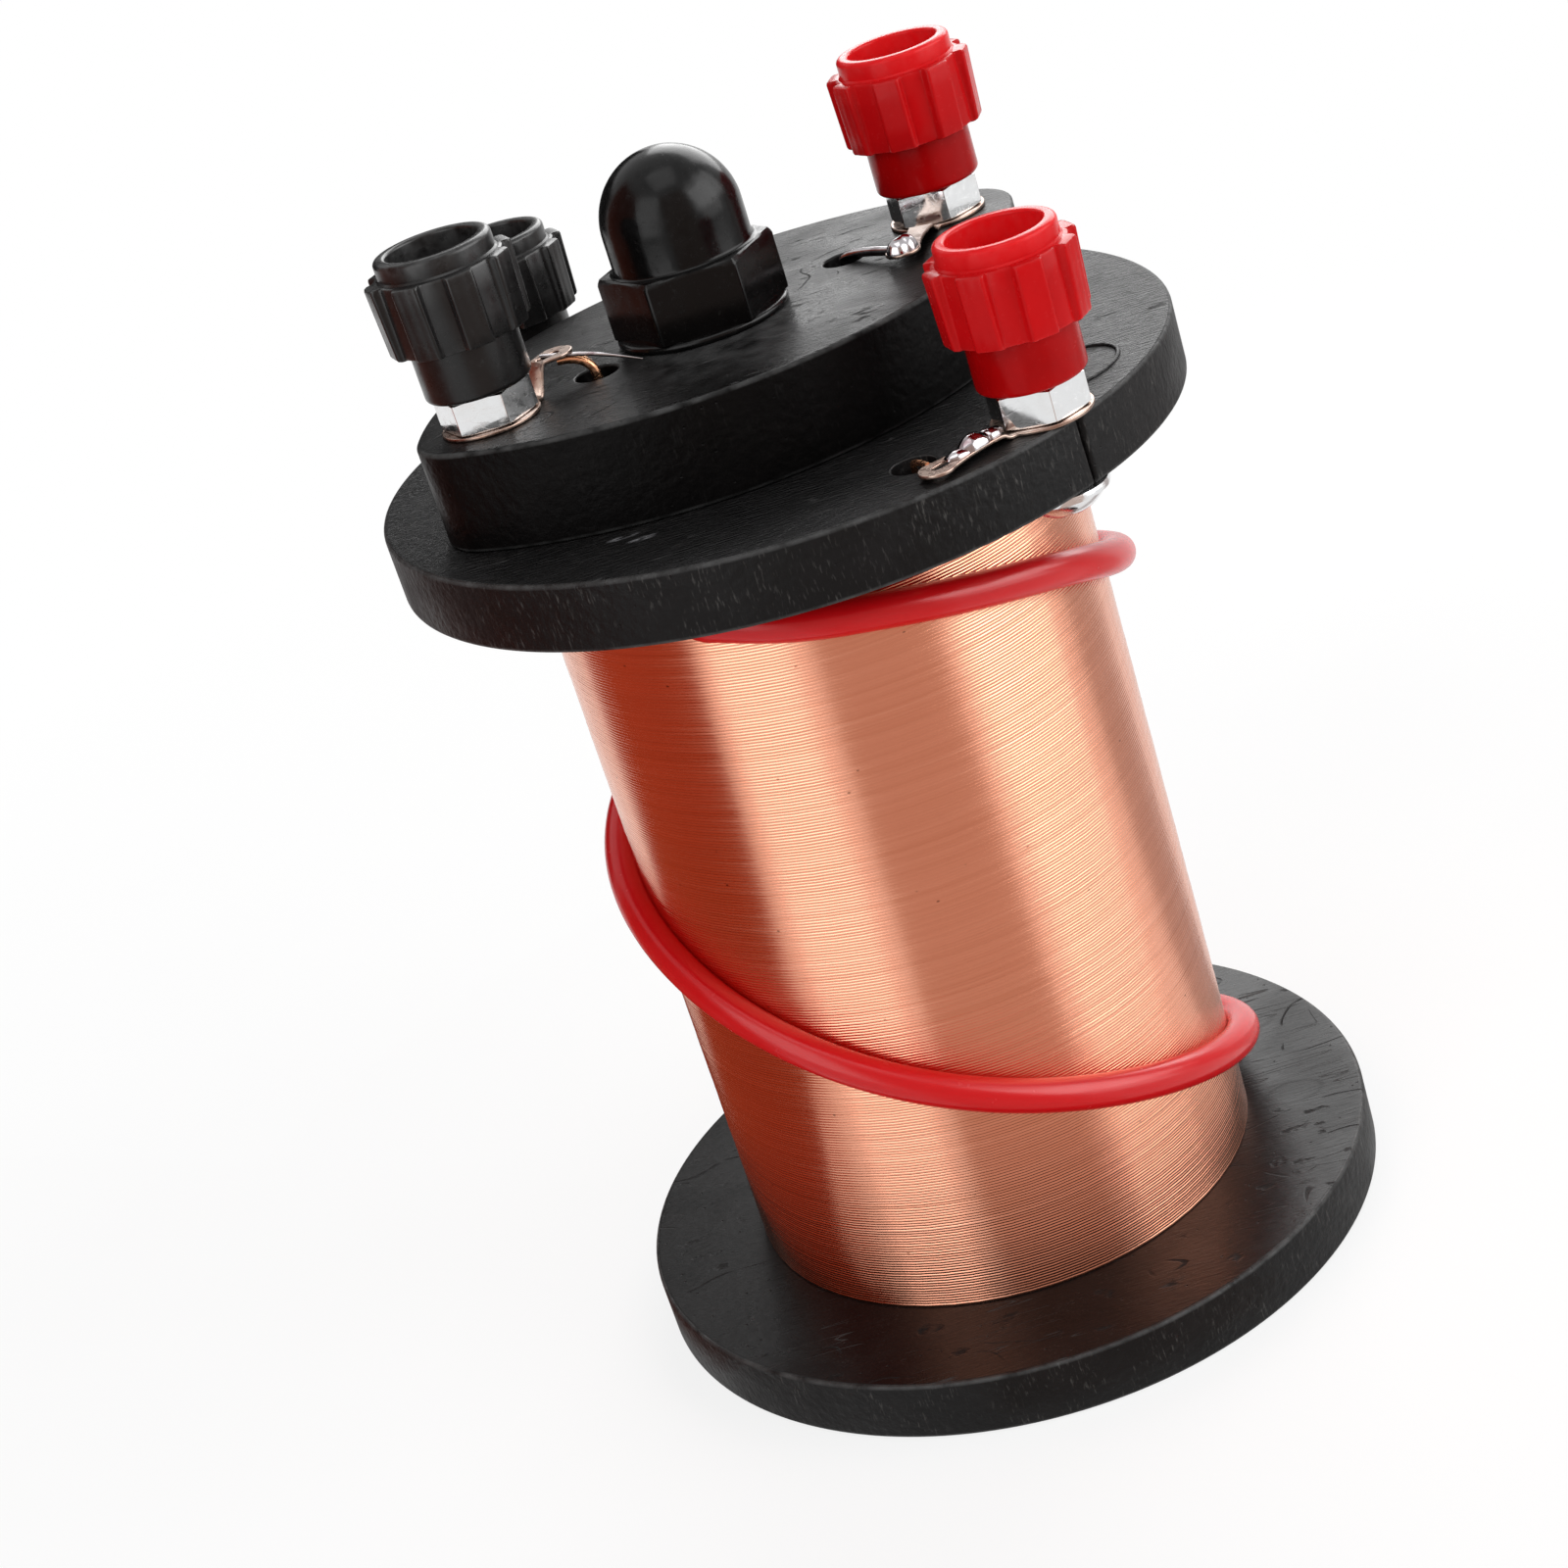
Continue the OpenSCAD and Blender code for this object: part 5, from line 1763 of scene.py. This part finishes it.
@dataclass
class IronCore:
    """The rod that lifts out of the inner coil, and the domed hexagon cap on its stub."""

    across: float = 13.0
    corner: float = 0.45
    foot: float = 7.3
    foot_height: float = 0.7
    foot_edge: float = 0.34
    hex_height: float = 5.9
    cone: float = 0.25
    dome: float = 5.9
    stub: float = 4.0
    stub_length: float = 9.0
    thread: float = 0.05
    hex_foot: float = 0.02
    hex_step: float = 0.3
    hex_edge: tuple[float, float] = (0.08, 0.28)
    hex_ease: float = 0.25
    fillet: float = 0.35
    lip: float = 0.02
    dome_end: float = 88.5
    pin: float = 0.2
    rod_pin: float = 0.3
    rod_edge: float = 0.5
    rod_shoulder: float = 0.2
    rod_gap: float = 0.02

    def __post_init__(self) -> None:
        """Measure the rod and the cap."""
        rod, cap = Box.of("iron_core"), Box.of("core_cap")
        self.at = raised(cap.middle[:2], cap.low[2])
        self.height = float(cap.high[2] - cap.low[2])
        self.rod, self.rod_low = rod.radius, float(rod.low[2])

    def cap_shell(self) -> Shell:
        """Stack outlines from the bore's end outwards and up: foot, hexagon, coned corners, neck and dome.

        Returns:
            The cap, standing on its foot.
        """
        side = hexagon(self.across, self.corner, arc_steps=8, flat_steps=8)
        ray, far = unit(side), np.linalg.norm(side, axis=-1)
        level = np.ones(len(side))
        cut = self.cone * np.maximum(far - self.across / 2.0, 0.0)
        bore = self.stub + self.thread
        rows, wear = [], []

        def ring(radius: float, z: float, rub: float = 0.0) -> None:
            """Add a round outline."""
            rows.append(raised(ray * radius, level * z))
            wear.append(rub)

        def six(step: float, z: Array, rub: float = 0.0) -> None:
            """Add a hexagonal outline, this far inside the flats."""
            rows.append(raised(side - normals_out(side) * step, z))
            wear.append(rub)

        ring(self.pin, self.stub_length)
        ring(bore, self.stub_length)
        ring(bore, 0.0)
        for r, z in arc((self.foot - self.foot_edge, self.foot_edge), self.foot_edge, -90.0, 90.0, 6):
            ring(r, z, rub=0.5)
        six(self.hex_foot, level * self.foot_height)
        six(0.0, level * self.foot_height + self.hex_step)
        six(0.0, self.hex_height - cut - self.hex_step)
        six(self.hex_edge[0], self.hex_height - cut - self.hex_edge[0], rub=1.0)
        six(self.hex_edge[1], self.hex_height - np.maximum(cut - self.hex_ease, 0.0), rub=1.0)
        neck, neck_z = self.dome + self.fillet, self.hex_height + self.lip
        ring(neck, neck_z)
        for r, z in arc((neck, neck_z + self.fillet), self.fillet, -90.0, -180.0, 4):
            ring(r, z)
        spring = self.height - self.dome
        for r, z in arc((0.0, spring), self.dome, 0.0, self.dome_end, 20):
            ring(r, z, rub=0.3)
        return loft(np.stack(rows), Ends.CAPPED, np.array(wear))

    def build(self) -> None:
        """Add the cap, and the rod as a turned profile."""
        cap = self.cap_shell().placed(self.at)
        add_piece("domed_cap", cap, "core", CAP_BLACK, ("core_cap",), crease=34.0)
        low, top, end = self.rod_low, self.at[2], self.at[2] + self.stub_length
        edge, shoulder = self.rod_edge, self.rod_shoulder
        rod = [[self.rod_pin, low], [self.rod - edge, low], [self.rod, low + edge]]
        rod += [[self.rod, top - shoulder], [self.rod - shoulder, top]]
        rod += [[self.stub, top], [self.stub, end - edge]]
        rod += [[self.stub - edge, end - self.rod_gap], [self.rod_pin, end - self.rod_gap]]
        shell = lathe(np.array(rod), 96, Ends.CAPPED).placed(raised(self.at[:2], 0.0))
        add_piece("soft_iron_rod", shell, "core", SOFT_IRON, ("iron_core",), crease=30.0)


@dataclass(frozen=True)
class Softbox:
    """A lamp behind a white screen, aimed at the coil."""

    name: str
    azimuth: float
    elevation: float
    distance: float
    width: float
    height: float
    glow: float

    def build(self, aim: Array) -> None:
        """Place the lamp. Its power is its glow times pi times its area.

        Args:
            aim: Point that it is aimed at.
        """
        lamp = bpy.data.lights.new(self.name, "AREA")
        lamp.shape = "RECTANGLE"
        lamp.size, lamp.size_y = self.width * MM, self.height * MM
        lamp.energy = self.glow * math.pi * lamp.size * lamp.size_y
        level = math.cos(math.radians(self.elevation))
        away = np.append(polar(level, self.azimuth), math.sin(math.radians(self.elevation)))
        lamp_object = bpy.data.objects.new(self.name, lamp)
        lamp_object.matrix_world = facing(aim + away * self.distance, aim)
        lamp_object.visible_camera = False
        bpy.context.scene.collection.objects.link(lamp_object)


@dataclass(frozen=True)
class Flag:
    """A glowing card beside the set, dark, tinted or bright, which only shows in the gloss of the object,
    where it paints reflections.
    """

    name: str
    azimuth: float
    span: float
    tint: Colour = (0.02, 0.02, 0.02)
    near: float = 36.0
    low: float = 0.5
    high: float = 900.0
    distance: float = 700.0
    steps: int = 12

    def build(self) -> None:
        """Add the card: a wedge of a disc on the floor that bends at its distance and stands upright."""
        count = self.steps + 1
        ray = polar(1.0, self.azimuth + self.span * np.linspace(0.5, -0.5, count))
        profile = np.array([[self.near, self.low], [self.distance, self.low], [self.distance, self.high]])
        rows = raised(profile[:, None, :1] * ray[None], profile[:, None, 1].repeat(count, 1))
        k = (np.arange(2)[:, None] * count + np.arange(self.steps)[None]).ravel()
        faces = np.stack([k, k + 1, k + count + 1, k + count], -1)
        mesh = bpy.data.meshes.new(self.name)
        mesh.from_pydata((rows.reshape(-1, 3) * MM).tolist(), [], faces.tolist())
        card = bpy.data.objects.new(self.name, mesh)
        bpy.context.scene.collection.objects.link(card)
        graph = Graph(self.name + "_reflection_glow")
        glow_patches = graph.band(graph.noise(graph.coords(), 0.01, 2.0), 0.3, 0.7)
        glow_colour = graph.mix(glow_patches, self.tint, tuple(1.2 * c for c in self.tint))
        glow = graph.add("Emission", {"Color": glow_colour, "Strength": 1.0})
        graph.links.new(glow.outputs[0], graph.nodes["Material Output"].inputs["Surface"])
        mesh.materials.append(graph.material)
        card.visible_camera = card.visible_diffuse = card.visible_shadow = card.visible_transmission = False


def facing(stand: Array, aim: Array, roll: float = 0.0) -> Matrix:
    """Place of a camera or lamp that looks from one point at another.

    Args:
        stand: Where it stands.
        aim: What it looks at.
        roll: Angle in degrees by which its right side is raised.

    Returns:
        Its matrix, in metres.
    """
    forward = unit(np.asarray(aim) - np.asarray(stand))
    level = unit(np.cross(forward, UPRIGHT))
    upright = np.cross(level, forward)
    c, s = math.cos(math.radians(roll)), math.sin(math.radians(roll))
    right, up = level * c + upright * s, upright * c - level * s
    place = np.eye(4)
    place[:3] = np.column_stack([right, up, -forward, np.asarray(stand) * MM])
    return Matrix(place.tolist())


@dataclass
class Studio:
    """Pale floor, white surroundings, softboxes, glowing cards that only show in gloss, and the camera of the
    photograph.
    """

    stand: tuple[float, float, float] = (-1.383, -242.242, 157.493)
    aim: tuple[float, float, float] = (-8.787, -0.269, 48.412)
    roll: float = -18.009
    focal_pixels: float = 3084.0
    image_pixels: float = 1600.0
    sensor: float = 36.0
    floor_radius: float = 6000.0
    shadow_reach: float = 260.0
    shadow_core: float = 0.4
    surround: float = 0.3
    fill_share: float = 0.8
    clip: tuple[float, float] = (0.01, 50.0)
    lamp_aim: tuple[float, float, float] = (0.0, 0.0, 50.0)
    paper: tuple[Colour, Colour] = ((0.86, 0.86, 0.86), (0.9, 0.9, 0.9))
    paper_roughness: float = 0.9
    softboxes: tuple[Softbox, ...] = (
        Softbox("right_softbox", -22.0, 22.0, distance=600.0, width=460.0, height=640.0, glow=2.2),
        Softbox("left_softbox", -128.0, 24.0, distance=600.0, width=360.0, height=640.0, glow=2.0),
        Softbox("back_softbox", 66.0, 30.0, distance=700.0, width=560.0, height=460.0, glow=4.2),
        Softbox("top_softbox", -80.0, 78.0, distance=800.0, width=460.0, height=460.0, glow=1.6),
    )
    # Glowing cards seen only in gloss paint the reflections: warm red-brown bands on the left, paler ones in
    # front and on the right, a dark one at the back and a bright glint on the right.
    flags: tuple[Flag, ...] = (
        Flag("front_flag", -78.0, 50.0, (0.55, 0.42, 0.37)),
        Flag("left_low_flag", 150.0, 110.0, (0.2, 0.04, 0.02), high=0.6, distance=94.0),
        Flag("left_flag", 178.0, 62.0, (0.34, 0.075, 0.04), near=94.0),
        Flag("right_glint_card", -15.0, 66.0, (4.0, 4.0, 4.0), near=640.0, low=180.0, high=600.0, distance=640.0),
        Flag("back_flag", 118.0, 49.0, near=690.0, high=400.0),
        Flag("right_flag", 22.0, 26.0, (0.5, 0.45, 0.44), high=250.0),
    )

    def add_camera(self) -> None:
        """Set up the camera: the focal length in pixels gives the lens on the sensor."""
        lens = bpy.data.cameras.new("photo_camera")
        lens.sensor_width = self.sensor
        lens.lens = self.sensor * self.focal_pixels / self.image_pixels
        lens.clip_start, lens.clip_end = self.clip
        camera = bpy.data.objects.new("photo_camera", lens)
        camera.matrix_world = facing(np.array(self.stand), np.array(self.aim), self.roll)
        bpy.context.scene.collection.objects.link(camera)
        bpy.context.scene.camera = camera

    @staticmethod
    def seen(nodes: bpy.types.Nodes, links: bpy.types.NodeLinks) -> Socket:
        """Tell what is seen from what only lights the object.

        Args:
            nodes: Nodes of a material or of the world.
            links: Their links.

        Returns:
            1 for rays from the camera, from gloss or through glass, 0 for light that falls on the object.
        """
        path = nodes.new("ShaderNodeLightPath").outputs
        total = path["Is Camera Ray"]
        for name in ("Is Glossy Ray", "Is Transmission Ray"):
            add = nodes.new("ShaderNodeMath")
            add.operation = "MAXIMUM"
            links.new(total, add.inputs[0])
            links.new(path[name], add.inputs[1])
            total = add.outputs[0]
        return total

    def add_floor(self) -> None:
        """Add the floor: a wide disc that is white where it is seen, apart from the object's soft shadow."""
        ring = circle((0.0, 0.0), self.floor_radius, sides=96)
        mesh = bpy.data.meshes.new("pale_floor")
        mesh.from_pydata(raised(ring * MM, np.zeros(len(ring))).tolist(), [], [list(range(len(ring)))])
        floor = bpy.data.objects.new("pale_floor", mesh)
        bpy.context.scene.collection.objects.link(floor)
        graph = Graph("pale_floor_paper")
        grain = graph.band(graph.noise(graph.coords(), 0.02, 3.0), 0.3, 0.7)
        graph.set(Base_Color=graph.mix(grain, *self.paper), Roughness=self.paper_roughness)
        glow = graph.add("Emission", {"Color": (1.0, 1.0, 1.0, 1.0), "Strength": 1.0})
        away = graph.add("VectorMath", {0: graph.coords()}, operation="LENGTH").outputs["Value"]
        core = self.shadow_reach * self.shadow_core
        fill = graph.band(away, core, self.shadow_reach, self.fill_share, 1.0)
        share = graph.times(self.seen(graph.nodes, graph.links), fill)
        blend = graph.add("MixShader", {0: share, 1: graph.shader.outputs[0], 2: glow.outputs[0]})
        graph.links.new(blend.outputs[0], graph.nodes["Material Output"].inputs["Surface"])
        mesh.materials.append(graph.material)

    def add_world(self) -> None:
        """Set the surroundings: white where they are seen, and a plain grey glow as light."""
        world = bpy.data.worlds.new("white_surroundings")
        world.use_nodes = True
        nodes, links = world.node_tree.nodes, world.node_tree.links
        glow = nodes["Background"]
        glow.inputs["Color"].default_value = (1.0, 1.0, 1.0, 1.0)
        level = nodes.new("ShaderNodeMapRange")
        level.inputs["To Min"].default_value = self.surround
        links.new(self.seen(nodes, links), level.inputs["Value"])
        links.new(level.outputs[0], glow.inputs["Strength"])
        bpy.context.scene.world = world

    def build(self) -> None:
        """Set up the whole studio."""
        bpy.context.scene.view_settings.view_transform = "Standard"
        self.add_camera()
        self.add_floor()
        self.add_world()
        for softbox in self.softboxes:
            softbox.build(np.array(self.lamp_aim))
        for flag in self.flags:
            flag.build()


def dress_inserts(nodes: dict[str, bpy.types.Object]) -> None:
    """Give the frame's brass inserts their finish.

    Args:
        nodes: Objects of the frame by node.
    """
    for name, node in nodes.items():
        if name.endswith("_insert"):
            for slot in node.material_slots:
                slot.material = INSERT_BRASS.material()


def main() -> None:
    """Load the frame, dress the coil and light it."""
    logging.basicConfig(level=logging.INFO, format="%(message)s")
    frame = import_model()
    Studio().build()
    OuterCoil().build()
    InnerCoil().build()
    IronCore().build()
    dress_inserts(frame["nodes"])


if __name__ == "__main__":
    main()
